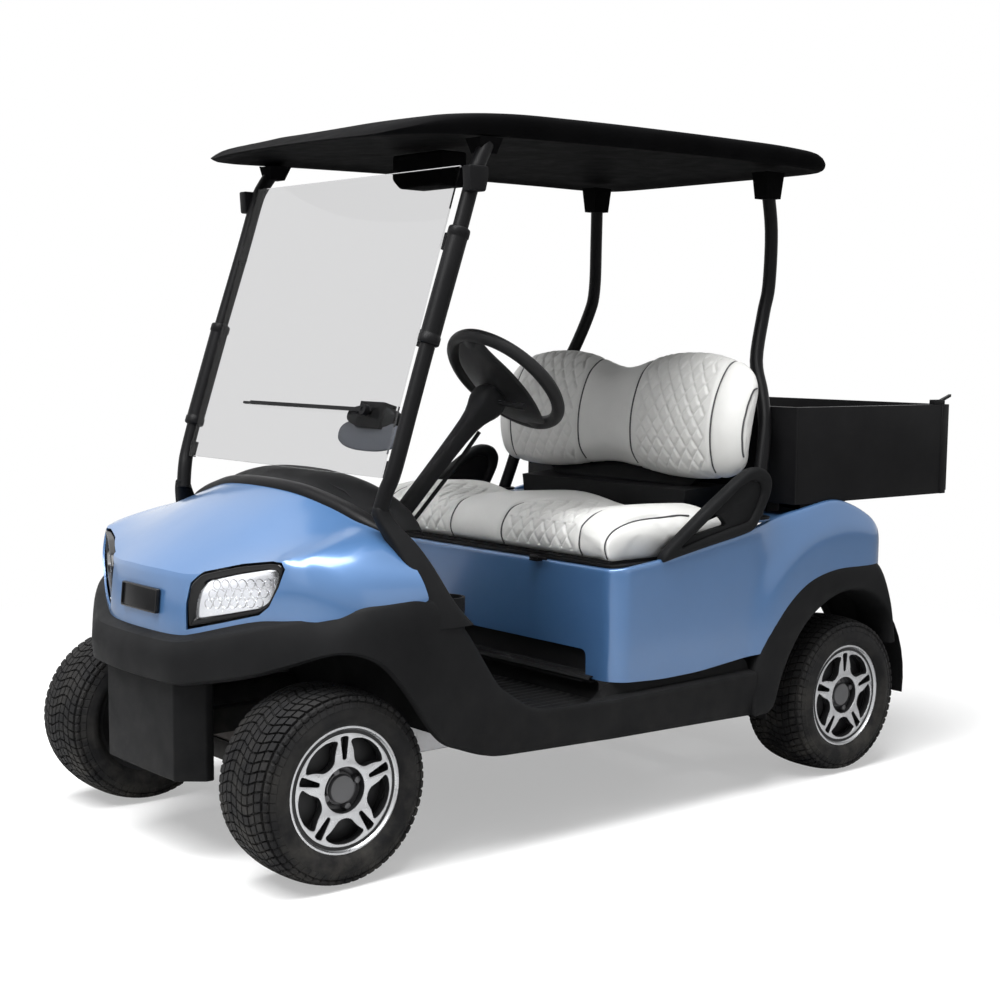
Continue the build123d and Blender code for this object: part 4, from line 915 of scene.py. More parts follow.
# ---------------------------------------------------------------- wheels
@dataclass
class Wheel(Assembly):
    """One tyre and its cast rim, modelled about the X axis and copied to four hubs."""

    radius: float = 0.2205
    half_width: float = 0.105
    tread_half: float = 0.084
    tread_columns: int = 8
    tread_rows: int = 60
    spokes: int = 5
    lugs: int = 4
    lip: float = 0.1435
    axles: tuple = (("front", 449, FRONT_STATION), ("rear", 490, REAR_STATION))

    def build(self, frame: dict) -> None:
        """Make one wheel for the left side and stand a copy at each hub."""
        tyre, rim, dark, nuts = self._tyre(), self._rim_face(), self._barrel(), self._hub()
        for axle, half_track, station in self.axles:
            for side, hand in (("left", 1), ("right", -1)):
                move = Matrix.Translation(at(hand * half_track, station, HUB_HEIGHT))
                if hand < 0:
                    move = move @ mirror_x()
                body = f"wheel_{axle}_{side}"
                self._place(tyre, f"{axle}_{side}_tyre", move, body, f"{axle}_tyre_{side}")
                self._place(rim, f"{axle}_{side}_rim_face", move, body, f"{axle}_rim_{side}")
                self._place(dark, f"{axle}_{side}_rim_barrel", move, body, None)
                self._place(nuts, f"{axle}_{side}_hub_cap", move, body, None)
        for master in (tyre, rim, dark, nuts):
            bpy.data.objects.remove(master)

    @staticmethod
    def _place(master: Piece, name: str, move: Matrix, body: str,
               node: str | None) -> None:
        """Copy one master to a hub and ride it on its wheel."""
        twin = Bench.copy(master, name, move)
        twin["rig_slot"] = master["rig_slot"]
        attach(twin, body)
        if node:
            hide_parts(node)

    def _revolve(self, name: str, profile: Outline, steps: int,
                 lean: Callable[[float], float] | None = None) -> Piece:
        """Turn a profile of (x, radius) about the X axis."""
        rows = []
        for step in range(steps):
            ring = []
            for x, radius in profile:
                angle = 2 * math.pi * step / steps + (lean(x) if lean else 0.0)
                ring.append(Vector((x, radius * math.cos(angle), radius * math.sin(angle))))
            rows.append(ring)
        piece = Bench.lay(name, rows + [rows[0]])
        Bench.merge(piece, 0.00002, outward=True)
        return piece

    def _tyre(self) -> Piece:
        """Carcass with raised tread blocks and ribs round the side wall."""
        groove, w, r = 0.0065, self.half_width, self.radius
        crown = [self.tread_half * (2 * i / self.tread_columns - 1)
                 for i in range(self.tread_columns + 1)]
        tread = [(x, r - groove - 0.0085 * (abs(x) / self.tread_half) ** 2.6) for x in crown]
        wall = [(0.0945, r - 0.0235), (0.101, r - 0.038), (w, r - 0.052), (w + 0.0002, r - 0.060),
                (0.1025, r - 0.066), (0.100, r - 0.070), (0.0950, self.lip + 0.004),
                (0.0915, self.lip + 0.0005), (0.086, self.lip - 0.004), (0.080, self.lip - 0.013)]
        profile = [(-x, radius) for x, radius in reversed(wall)] + tread + wall

        def lean(x: float) -> float:
            """Chevron lean of the blocks across the tread."""
            return 0.045 * math.sin(abs(x) / self.tread_half * math.pi * 1.5) * math.copysign(1, x)

        piece = self._revolve("tyre_master", profile, self.tread_rows, lean)

        def blocks() -> None:
            """Raise every tread face as a block of its own."""
            bpy.ops.mesh.inset(thickness=0.0016, depth=0.0, use_individual=True)
            bpy.ops.mesh.inset(thickness=0.0007, depth=groove, use_individual=True)

        Bench.edit(piece, lambda p: abs(p.center.x) < 0.090
                   and math.hypot(p.center.y, p.center.z) > r - 0.028, blocks)

        def bars() -> None:
            """Raise short bars down the upper side wall."""
            bpy.ops.mesh.inset(thickness=0.0022, depth=0.0018, use_individual=True)

        Bench.edit(piece, lambda p: 0.090 < abs(p.center.x) < 0.100
                   and math.hypot(p.center.y, p.center.z) > r - 0.036, bars)
        Bench.smooth(piece, 28)
        self.palette.dress(piece, Slot.TYRE)
        return piece

    def _polar(self, pairs: Outline, turn: float) -> list[tuple[float, float]]:
        """Outline of (distance out, distance across) turned about the hub."""
        c, s = math.cos(turn), math.sin(turn)
        return [(u * c - v * s, u * s + v * c) for u, v in pairs]

    def _rim_face(self) -> Piece:
        """Machined face: five pairs of bars between a hub ring and the outer ring; the bars' sides,
        the back and the groove inside the lip get painted shade.
        """
        outer_r, hub_r = 0.1270, 0.0520
        outlines = [circle(outer_r, 80), circle(hub_r, 48)]
        for index in range(self.spokes):
            turn = math.radians(90 + 72 * index)
            slim = [(0.0680, -0.0045), (0.0680, 0.0045), (0.1190, 0.0105), (0.1210, 0.0),
                    (0.1190, -0.0105)]
            outlines.append(round_corners(self._polar(slim, turn), 0.004))
            wide = [(0.0630, 0.0), (0.0665, 0.0160), (0.0855, 0.0330), (0.0985, 0.0515),
                    (0.1085, 0.0430), (0.1182, 0.0240), (0.1215, 0.0)]
            wide += [(u, -v) for u, v in reversed(wide[1:-1])]
            outlines.append(round_corners(self._polar(wide, turn + math.pi / 5), 0.008, 5))
        face = Bench.plate("rim_face_plate", outlines, side_on(0.0755), 0.022, 0.0016)
        lip = self._revolve("rim_lip", [(0.0700, 0.1235), (0.0845, 0.1240), (0.0848, 0.1262),
                                        (0.0850, 0.1345), (0.0875, 0.1368), (0.0905, 0.1385),
                                        (0.0910, 0.1410), (0.0900, 0.1438), (0.0860, 0.1445),
                                        (0.0800, 0.1436), (0.0780, 0.1320), (0.0700, 0.1300)], 96)
        rim = Bench.join("rim_face_master", [face, lip])
        Bench.smooth(rim, 35)
        self.palette.dress(rim, Slot.RIM)
        # painted shade on the pocket walls, the back faces and the groove inside the lip
        rim.data.materials.append(self.palette.extra["rim painted shade"])
        for polygon in rim.data.polygons:
            out = math.hypot(polygon.center.y, polygon.center.z)
            if (abs(polygon.normal.x) < 0.35 and out < 0.1240 or polygon.normal.x < -0.4
                    or 0.1262 < out < 0.1345):
                polygon.material_index = 1
        return rim

    def _barrel(self) -> Piece:
        """Barrel behind the face, the dished hub and the inner lip, all in painted shade."""
        profile = [(0.0790, 0.1300), (0.0600, 0.1235), (0.0200, 0.1205), (-0.0500, 0.1225),
                   (-0.0800, 0.1290), (-0.0885, 0.1440), (-0.0840, 0.1440), (-0.0780, 0.1350),
                   (-0.0480, 0.1262), (0.0600, 0.1275)]
        barrel = self._revolve("rim_barrel_part", profile + [profile[0]], 72)
        disc = self._revolve("rim_disc_part", [(0.0300, 0.0170), (0.0480, 0.0180), (0.0560, 0.0500),
                                               (0.0600, 0.0700), (0.0480, 0.1210), (0.0400, 0.1215),
                                               (0.0440, 0.0700), (0.0360, 0.0500),
                                               (0.0300, 0.0170)], 60)
        piece = Bench.join("rim_barrel_master", [barrel, disc])
        Bench.smooth(piece, 40)
        self.palette.dress(piece, Slot.RIM, "rim painted shade")
        return piece

    def _hub(self) -> Piece:
        """Round cap in a recess, with a ring of nuts on studs."""
        cap = self._revolve("hub_cap_part", [(0.0560, 0.0005), (0.0790, 0.0005), (0.0795, 0.0180),
                                             (0.0782, 0.0300), (0.0740, 0.0330), (0.0700, 0.0335),
                                             (0.0690, 0.0360), (0.0560, 0.0370)], 48)
        parts = [cap]
        for index in range(self.lugs):
            angle = math.radians(20 + 360 / self.lugs * index)
            spot = Vector((0.0660, 0.0435 * math.cos(angle), 0.0435 * math.sin(angle)))
            Bench.clear()
            bpy.ops.mesh.primitive_cylinder_add(vertices=6, radius=0.0088, depth=0.022,
                                                location=spot, rotation=(0, math.pi / 2, 0))
            nut = bpy.context.object
            Bench.join("nut", [nut])
            Bench.modify(nut, "BEVEL", width=0.0018, segments=2)
            parts.append(nut)
        seat = self._revolve("hub_seat_part", [(0.0540, 0.0370), (0.0560, 0.0400), (0.0580, 0.0480),
                                               (0.0640, 0.0520), (0.0700, 0.0535), (0.0700, 0.0560),
                                               (0.0540, 0.0560)], 48)
        piece = Bench.join("hub_cap_master", parts + [seat])
        Bench.smooth(piece, 35)
        self.palette.dress(piece, Slot.RIM, "hub grey")
        return piece


# ---------------------------------------------------------------- body mouldings
@dataclass
class Hood(Assembly):
    """Painted hood and nose with its lamp openings and the brow it runs up to."""

    wall: float = 0.005
    # x, y, z of the hem, the crease above the face, two crown points and the brow line
    columns: tuple = (
        ((0, -1038, 527), (0, -1026, 672), (0, -925, 743), (0, -825, 804), (0, -724, 852)),
        ((90, -1036, 527), (90, -1021, 672), (88, -920, 743), (87, -820, 803), (86, -721, 850)),
        ((180, -1026, 528), (181, -1010, 670), (176, -912, 741), (171, -812, 799), (166, -713, 843)),
        ((268, -992, 541), (270, -982, 687), (259, -894, 738), (249, -800, 788), (240, -701, 828)),
        ((360, -950, 565), (362, -944, 706), (342, -866, 740), (324, -778, 780), (306, -692, 812)),
        ((452, -907, 590), (444, -902, 726), (414, -830, 745), (388, -750, 770), (362, -684, 794)),
        ((512, -862, 606), (480, -854, 728), (448, -794, 753), (420, -730, 771), (400, -674, 782)),
        ((552, -800, 618), (504, -792, 722), (478, -752, 748), (450, -706, 763), (424, -664, 773)),
        ((566, -700, 628), (514, -704, 716), (488, -688, 742), (464, -672, 755), (442, -657, 765)),
        ((571, -632, 634), (518, -642, 710), (492, -644, 736), (470, -644, 750), (448, -642, 759)),
    )

    def build(self, frame: dict) -> None:
        """Skin the hood and cut the lamp openings."""
        half = [[at(*point) for point in column] for column in self.columns]
        full = both_sides(half)
        rows = []
        for column in full:
            hem, crease, *crown = column
            belly = hem.lerp(crease, 0.5)
            swell = math.copysign(0.012, belly.x) if abs(belly.x) > 0.2 else 0
            bulge = Vector((swell, -0.004, 0.004))
            low = hem + Vector((0, 0, -0.010))
            rows.append([low, hem, hem.lerp(crease, 0.25) + bulge * 0.7, belly + bulge,
                         hem.lerp(crease, 0.78) + bulge * 0.6, crease, *crown])
        rows = blend_rows(rows, 2)
        hood = Bench.lay("hood", rows, facing=at(0, -700, 500))
        crease_line = [row[5] for row in rows]

        def weigh(a: Vector, b: Vector) -> float:
            """Hold the line above the nose and the lamps."""
            near = [min((p - q).length for q in crease_line) < 0.0015 for p in (a, b)]
            middle = (a + b) / 2
            return 0.9 * (1 - ease(abs(middle.x), 0.40, 0.47)) if all(near) else 0.0

        Bench.crease(hood, weigh)
        Bench.subdivide(hood, 2)
        Bench.thicken(hood, self.wall)
        for side in (1, -1):
            cutter = Headlamp(self.palette).prism("lamp_cutter", side, 0.004, -0.050, 0.060)
            Bench.cut(hood, cutter)
        Bench.smooth(hood, 28)
        self.palette.dress(hood, Slot.PAINT)
        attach(hood, "chassis")
        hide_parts("front_cowl")


@dataclass
class Headlamp(Assembly):
    """Swept lamp in the face beside the nose: deep black bezel, clear lens and bright bowls."""

    outline: tuple = ((6, 552), (4, 606), (13, 652), (44, 677), (146, 701), (230, 713), (256, 713),
                      (265, 702), (253, 664), (230, 622), (204, 602), (110, 578), (20, 556))
    # the lens's outline, point for point inside the bezel's
    window: tuple = ((24, 574), (26, 602), (36, 634), (60, 660), (146, 682), (226, 698), (246, 698),
                     (249, 684), (239, 655), (222, 626), (200, 612), (110, 592), (34, 577))
    corner: tuple = (181, -1018)
    shoulder: tuple = (449, -903)

    def place(self, side: int) -> Matrix:
        """Frame on the slanted face: u back along it, v up, w outwards."""
        run = (Vector(self.shoulder) - Vector(self.corner)).to_3d().normalized()
        out = Vector((run.y, -run.x, 0))
        origin = at(*self.corner, 0)
        matrix = Matrix((run, Vector((0, 0, 1)), out)).transposed().to_4x4()
        matrix.translation = origin
        return mirror_x() @ matrix if side < 0 else matrix

    def drawn(self, margin: float) -> list[tuple[float, float]]:
        """Outline in metres, drawn in by a margin towards its middle."""
        points = [Vector((u / 1000, v / 1000)) for u, v in self.outline]
        count = len(points)
        inset = []
        for index, point in enumerate(points):
            back = (point - points[index - 1]).normalized()
            ahead = (points[(index + 1) % count] - point).normalized()
            normal = Vector((back.y + ahead.y, -back.x - ahead.x)).normalized()
            scale = 1 / max(0.6, normal.dot(Vector((back.y, -back.x))))
            inset.append(tuple(point + normal * margin * min(scale, 1.3)))
        return inset

    def prism(self, name: str, side: int, grow: float, back: float, front: float) -> Piece:
        """Solid prism over the outline grown by a margin, from back to front."""
        place = self.place(side) @ Matrix.Translation((0, 0, (front + back) / 2))
        return Bench.plate(name, [self.drawn(-grow)], place, front - back)

    def build(self, frame: dict) -> None:
        """Build both lamps."""
        for name, side in (("left", 1), ("right", -1)):
            self._one(name, side)

    def _one(self, name: str, side: int) -> None:
        """Build one lamp from the bezel inwards."""
        place = self.place(side)
        levels = ((0.08, -0.012), (0.08, 0.001), (0.16, 0.003), (0.40, 0.003), (0.75, 0.001),
                  (0.95, -0.004), (1.0, -0.030))
        rows = [[place @ Vector((u, v, depth)) for u, v in self._between(share)]
                for share, depth in levels]
        bezel = Bench.lay(f"headlamp_bezel_{name}", rows, closed=True)
        Bench.merge(bezel, 0.00002)
        self._outward(bezel, place)
        Bench.thicken(bezel, 0.0015)
        back = Bench.plate("lamp_back", [self._between(0.93)],
                           place @ Matrix.Translation((0, 0, -0.030)), 0.002)
        bezel = Bench.join(f"headlamp_bezel_{name}", [bezel, back])
        Bench.smooth(bezel, 30)
        self.palette.dress(bezel, Slot.BEZEL)
        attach(bezel, "chassis")
        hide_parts(f"headlamp_{name}")
        lens = Bench.plate(f"headlamp_cover_{name}", [self._between(0.97)],
                           place @ Matrix.Translation((0, 0, -0.0045)), 0.003, 0.0006)
        self.palette.dress(lens, Slot.LENS)
        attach(lens, "chassis")
        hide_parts(f"headlamp_lens_{name}")
        self._bowls(name, place)

    def _between(self, share: float) -> list[tuple[float, float]]:
        """Rounded outline at a share of the way from the bezel's rim to the lens's edge."""
        mixed = [((a + (c - a) * share) / 1000, (b + (d - b) * share) / 1000)
                 for (a, b), (c, d) in zip(self.outline, self.window)]
        return round_corners(mixed, 0.012, 4)

    @staticmethod
    def _outward(piece: Piece, place: Matrix) -> None:
        """Turn the bezel's ring so that its front looks out."""
        out = (place.to_3x3() @ Vector((0, 0, 1))).normalized()
        vote = sum(p.normal.dot(out) * p.area for p in piece.data.polygons)
        if vote < 0:
            piece.data.flip_normals()

    def _bowls(self, name: str, place: Matrix) -> None:
        """Two rows of bright bowls with a bead in each, on a bright panel behind them."""
        parts = []
        inner = [Vector(p) for p in self._between(1.0)]
        low_v, high_v = min(p.y for p in inner), max(p.y for p in inner)
        pitch_u, pitch_v = 0.0225, 0.0205
        ring = ((0.0106, 0.0), (0.0100, 0.0012), (0.0090, -0.001), (0.0066, -0.006),
                (0.0030, -0.0060), (0.0022, -0.0015), (0.0001, -0.0005))
        for row in range(6):
            for column in range(12):
                u = 0.020 + 0.5 * pitch_u * (row % 2) + pitch_u * column
                v = low_v + 0.010 + pitch_v * row + 0.11 * (u - 0.03)
                if not self._inside(inner, u, v, 0.009) or v > high_v:
                    continue
                centre = place @ Matrix.Translation((u, v, -0.0125))
                rows = [[centre @ Vector((x, y, depth)) for x, y in circle(radius, 16)]
                        for radius, depth in ring]
                bowl = Bench.lay("bowl", rows, closed=True)
                Bench.merge(bowl, 0.00002)
                self._outward(bowl, place)
                parts.append(bowl)
        panel = Bench.plate("bowl_panel", [self._between(0.93)],
                            place @ Matrix.Translation((0, 0, -0.0145)), 0.003)
        parts.append(panel)
        bowls = Bench.join(f"headlamp_bowls_{name}", parts)
        Bench.smooth(bowls, 40)
        self.palette.dress(bowls, Slot.LENS, "bright bowl")
        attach(bowls, "chassis")

    @staticmethod
    def _inside(outline: Sequence[Vector], u: float, v: float, margin: float) -> bool:
        """Whether a round spot of the margin's radius lies inside the outline."""
        inside = False
        count = len(outline)
        for index, a in enumerate(outline):
            b = outline[(index + 1) % count]
            if (a.y > v) != (b.y > v) and u < (b.x - a.x) * (v - a.y) / (b.y - a.y) + a.x:
                inside = not inside
            run = b - a
            t = max(0.0, min(1.0, (Vector((u, v)) - a).dot(run) / max(run.length_squared, 1e-9)))
            if (a + run * t - Vector((u, v))).length < margin:
                return False
        return inside


@dataclass
class LowerBody(Assembly):
    """Dark moulding that runs from the nose over the front wheels and back along the sills."""

    wall: float = 0.003
    # x, y at the widest line, lean back per drop, heading, then (inset, z) of tuck, hem,
    # ledge, crest, low edge and lip
    sections: tuple = (
        (0, -1085, 0, -90, (66, 549), (57, 534), (19, 521), (0, 486), (7, 430), (30, 421)),
        (112, -1081, 0, -86, (64, 549), (55, 534), (19, 521), (0, 486), (7, 430), (30, 421)),
        (190, -1072, 0, -76, (60, 550), (50, 535), (18, 523), (0, 489), (7, 431), (30, 422)),
        (240, -1050, 0, -62, (52, 555), (40, 541), (16, 531), (0, 497), (5, 437), (28, 428)),
        (320, -1008, 0, -60, (38, 572), (26, 559), (12, 551), (0, 521), (3, 453), (26, 444)),
        (402, -963, 0, -58, (32, 592), (20, 580), (9, 573), (0, 545), (1, 474), (22, 466)),
        (480, -913, 0, -52, (42, 612), (30, 600), (20, 594), (4, 562), (0, 505), (18, 498)),
        (548, -858, 0, -38, (56, 630), (44, 618), (33, 612), (10, 578), (0, 531), (16, 524)),
        (580, -802, 0, -14, (46, 638), (34, 625), (25, 620), (7, 588), (0, 521), (15, 514)),
        (587, -755, 0, 0, (46, 641), (34, 628), (25, 623), (7, 592), (0, 494), (15, 487)),
        (588, -700, 0, 0, (44, 646), (32, 633), (23, 628), (6, 596), (0, 430), (15, 424)),
        (588, -640, 0, 0, (40, 648), (28, 638), (20, 632), (5, 598), (0, 345), (16, 339)),
        (588, -556, 0.134, 0, (44, 520), (26, 580), (16, 585), (4, 560), (0, 300), (18, 294)),
        (588, -483, 0.31, 0, (46, 440), (24, 478), (14, 484), (3, 460), (0, 280), (20, 275)),
        (590, -437, 0.43, 0, (50, 360), (22, 406), (12, 412), (2, 392), (4, 262), (26, 258)),
        (592, -400, 0.357, 0, (58, 330), (34, 380), (12, 386), (0, 360), (8, 245), (30, 243)),
        (594, -350, 0.2, 0, (92, 300), (54, 330), (8, 352), (0, 335), (12, 240), (34, 239)),
        (596, -290, 0, 0, (98, 299), (62, 320), (6, 339), (0, 322), (14, 237), (36, 236)),
        (597, -90, 0, 0, (98, 299), (74, 318), (5, 331), (0, 316), (16, 230), (38, 229)),
        (597, -68, 0, 0, (42, 372), (36, 334), (5, 331), (0, 316), (16, 229), (38, 228)),
        (597, 180, 0, 0, (42, 374), (36, 338), (5, 334), (0, 319), (16, 224), (38, 223)),
        (597, 440, 0, 0, (42, 378), (36, 341), (5, 337), (0, 322), (16, 218), (38, 217)),
    )

    def row(self, section: tuple) -> list[Vector]:
        """Points of one section, in metres."""
        x, y, lean, heading, *profile = section
        out = Vector((math.cos(math.radians(heading)), math.sin(math.radians(heading)), 0))
        top = profile[2][1]
        points = []
        for inset, z in profile:
            slide = lean * (z - top)
            points.append(at(x - inset * out.x, y + slide - inset * out.y, z))
        return points

    def build(self, frame: dict) -> None:
        """Skin the moulding from one sill round the nose to the other."""
        half = [self.row(section) for section in self.sections]
        rows = blend_rows(both_sides(half), 2)
        band = Bench.lay("lower_body", rows, facing=at(0, -300, 420))
        ledges = [row[2] for row in rows]
        lows = [row[4] for row in rows]
        hems = [row[1] for row in rows]

        def weigh(a: Vector, b: Vector) -> float:
            """Hold the ledge's edge and the low edge fairly crisp."""
            for line, weight in ((ledges, 0.55), (lows, 0.7), (hems, 0.5)):
                if all(min((p - q).length for q in line) < 0.0012 for p in (a, b)):
                    return weight
            return 0.0

        Bench.crease(band, weigh)
        Bench.subdivide(band, 2)
        Bench.thicken(band, self.wall)
        pillars = [self._pillar(1), self._pillar(-1)]
        band = Bench.join("lower_body", [band] + pillars)
        Bench.smooth(band, 35)
        self.palette.dress(band, Slot.PLASTIC)
        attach(band, "chassis")
        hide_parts("bumper_band", "pillars", "sills")

    @staticmethod
    def _pillar(side: int) -> Piece:
        """Tapering pillar from the moulding up to the strut's socket."""
        rings = (  # z, x low, x high, y front, y back
            (560, 522, 584, -634, -500), (610, 512, 574, -640, -545), (655, 496, 558, -652, -568),
            (700, 478, 538, -664, -588), (745, 461, 512, -677, -612), (780, 448, 489, -690, -640),
            (806, 440, 474, -698, -656), (828, 437, 467, -698, -664),
        )
        rows = []
        for z, x_low, x_high, y_front, y_back in rings:
            a, b = (x_high - x_low) / 2, (y_back - y_front) / 2
            cx, cy = (x_high + x_low) / 2, (y_back + y_front) / 2
            rows.append([at(side * (cx + a * u), cy + b * v, z)
                         for u, v in squared_ring(16, 0.55, 0.55)])
        rows = blend_rows(rows, 2)
        top = [rows[-1][0].lerp(rows[-1][8], 0.5)] * 16
        pillar = Bench.lay("pillar", rows + [[p.lerp(q, 0.35) for p, q in zip(rows[-1], top)], top],
                           closed=True, facing=at(side * 490, -630, 690))
        Bench.subdivide(pillar, 1)
        return pillar


@dataclass
class RearBody(Assembly):
    """Painted body behind the footwell, its haunches and the flares over the rear wheels."""

    half_width: float = 580.0
    front: float = -65.0
    rear: float = 994.0
    corner: float = 55.0
    wall: float = 0.004
    arch_radius: float = 0.322
    arch_station: float = 836.0
    top_line: tuple = ((-65, 648), (95, 664), (374, 708), (512, 736), (660, 765), (752, 781),
                       (800, 778), (860, 758), (918, 728), (960, 690), (992, 610))
    base_line: tuple = ((-65, 366), (100, 358), (235, 361), (442, 381), (520, 384), (1000, 372))

    def _plan(self) -> list[tuple[float, float, float, float]]:
        """Half plan from the middle of the front wall to the middle of the back: x, y, normal."""
        plan = []
        flat = self.half_width - self.corner
        for x in (0, 150, 300, 420, 470, flat - 12):
            plan.append((x, self.front, 0.0, -1.0))
        for step in range(7):
            angle = math.radians(-90 + 15 * step)
            plan.append((flat + self.corner * math.cos(angle),
                         self.front + self.corner + self.corner * math.sin(angle),
                         math.cos(angle), math.sin(angle)))
        station = self.front + self.corner + 30
        while station < self.rear - 90:
            plan.append((self.half_width, station, 1.0, 0.0))
            station += 34
        bend = 78
        for step in range(8):
            angle = math.radians(90 / 7 * step)
            plan.append((self.half_width - bend + bend * math.cos(angle),
                         self.rear - bend + bend * math.sin(angle),
                         math.cos(angle), math.sin(angle)))
        for x in (460, 400, 300, 150, 0):
            plan.append((x, self.rear, 0.0, 1.0))
        return plan

    @staticmethod
    def haunch(y: float, z: float) -> float:
        """How far the side stands out, in millimetres, over and ahead of the wheel."""
        reach = math.hypot((y - 800) / 385, (z - 415) / 335)
        swell = 15 * (1 - ease(reach, 0.84, 1.03)) * ease(y, 380, 520)
        roll = 42 * ease(reach, 1.0, 1.32) * ease(y, 420, 600)
        tuck = 5 * (1 - ease(z, 360, 470))
        return swell - roll - tuck

    def build(self, frame: dict) -> None:
        """Skin the walls, cut the wheel arches and the kick recess, and add deck and flares."""
        half = []
        for x, y, nx, ny in self._plan():
            top, base = lerp_table(self.top_line, y), lerp_table(self.base_line, y)
            column = []
            levels = 14
            for level in range(levels + 1):
                share = level / levels
                z = base + (top - 7 - base) * share
                out = self.haunch(y, z) * max(nx, 0.0) if nx > 0.3 else 0.0
                column.append(at(x + nx * out, y + ny * out, z))
            out = self.haunch(y, top) * nx if nx > 0.3 else 0.0
            for inset, drop in ((2, 2), (7, 0), (16, 0), (22, 3), (24, 12)):
                column.append(at(x + nx * (out - inset), y + ny * (out - inset), top - drop))
            half.append(column)
        rows = both_sides(half)[1:]
        shell = Bench.lay("rear_body_shell", rows + [rows[0]], facing=at(0, 450, 500))
        Bench.subdivide(shell, 1)
        Bench.thicken(shell, self.wall)
        arch = self._roller("arch_cutter", 1.4)
        recess = round_corners(rectangle(-0.470, 0.470, 0.300, 0.437), 0.020, 5)
        upright = Matrix.Translation(at(0, self.front, 0)) @ Matrix.Rotation(math.pi / 2, 4, "X")
        kick = Bench.plate("kick_cutter", [recess], upright, 0.060)
        for cutter in (arch, kick):
            Bench.cut(shell, cutter)
        deck = self._deck()
        body = Bench.join("rear_body_shell", [shell, deck])
        Bench.smooth(body, 30)
        self.palette.dress(body, Slot.PAINT)
        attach(body, "chassis")
        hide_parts("rear_body")
        Flare(self.palette).build(frame)

    def _roller(self, name: str, length: float) -> Piece:
        """Cylinder across the cart at the rear wheels, for cutting the arches."""
        Bench.clear()
        bpy.ops.mesh.primitive_cylinder_add(vertices=96, radius=self.arch_radius, depth=length,
                                            location=at(0, self.arch_station, HUB_HEIGHT),
                                            rotation=(0, math.pi / 2, 0))
        return Bench.join(name, [bpy.context.object])

    def _deck(self) -> Piece:
        """Deck behind the seat, between the walls."""
        reach = (self.half_width - 26) / 1000
        outline = [(-reach, 0.0), (reach, 0.0), (reach, 0.430), (0.46, 0.492), (-0.46, 0.492),
                   (-reach, 0.430)]
        place = Matrix.Translation(at(0, 430, 735))
        return Bench.plate("deck", [round_corners(outline, 0.02)], place, 0.008, 0.002)


@dataclass
class Flare(Assembly):
    """Dark flare round a rear wheel's opening, with a rolled outer face and an inner lip."""

    # y, z of the opening's edge and of the flare's upper edge, from the sill round to the tail
    opening: tuple = ((437, 216), (515, 222), (548, 300), (588, 373), (640, 437), (705, 483),
                      (786, 515), (874, 518), (948, 492), (1004, 438), (1012, 352))
    upper: tuple = ((432, 222), (432, 300), (470, 408), (511, 491), (574, 547), (647, 585),
                    (743, 603), (844, 605), (948, 597), (1000, 500), (1034, 361))

    def build(self, frame: dict) -> None:
        """Build the left flare and its mirror image as one piece."""
        # inset share across the band from the upper edge to the opening, with x
        profile = ((0.0, 560), (0.0, 581), (0.06, 590), (0.20, 597), (0.45, 600), (0.75, 598),
                   (0.93, 592), (1.0, 582), (1.0, 560), (0.98, 470))
        rows = []
        for (ya, za), (yb, zb) in zip(self.upper, self.opening):
            rows.append([at(x, ya + (yb - ya) * share, za + (zb - za) * share)
                         for share, x in profile])
        rows = blend_rows(rows, 4)
        left = Bench.lay("flare_left", rows, facing=at(400, 800, 500))
        Bench.subdivide(left, 1)
        Bench.thicken(left, 0.003)
        right = Bench.copy(left, "flare_right", mirror_x())
        flares = Bench.join("wheel_flares", [left, right])
        Bench.smooth(flares, 40)
        self.palette.dress(flares, Slot.PLASTIC)
        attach(flares, "chassis")
        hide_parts("rear_flares")


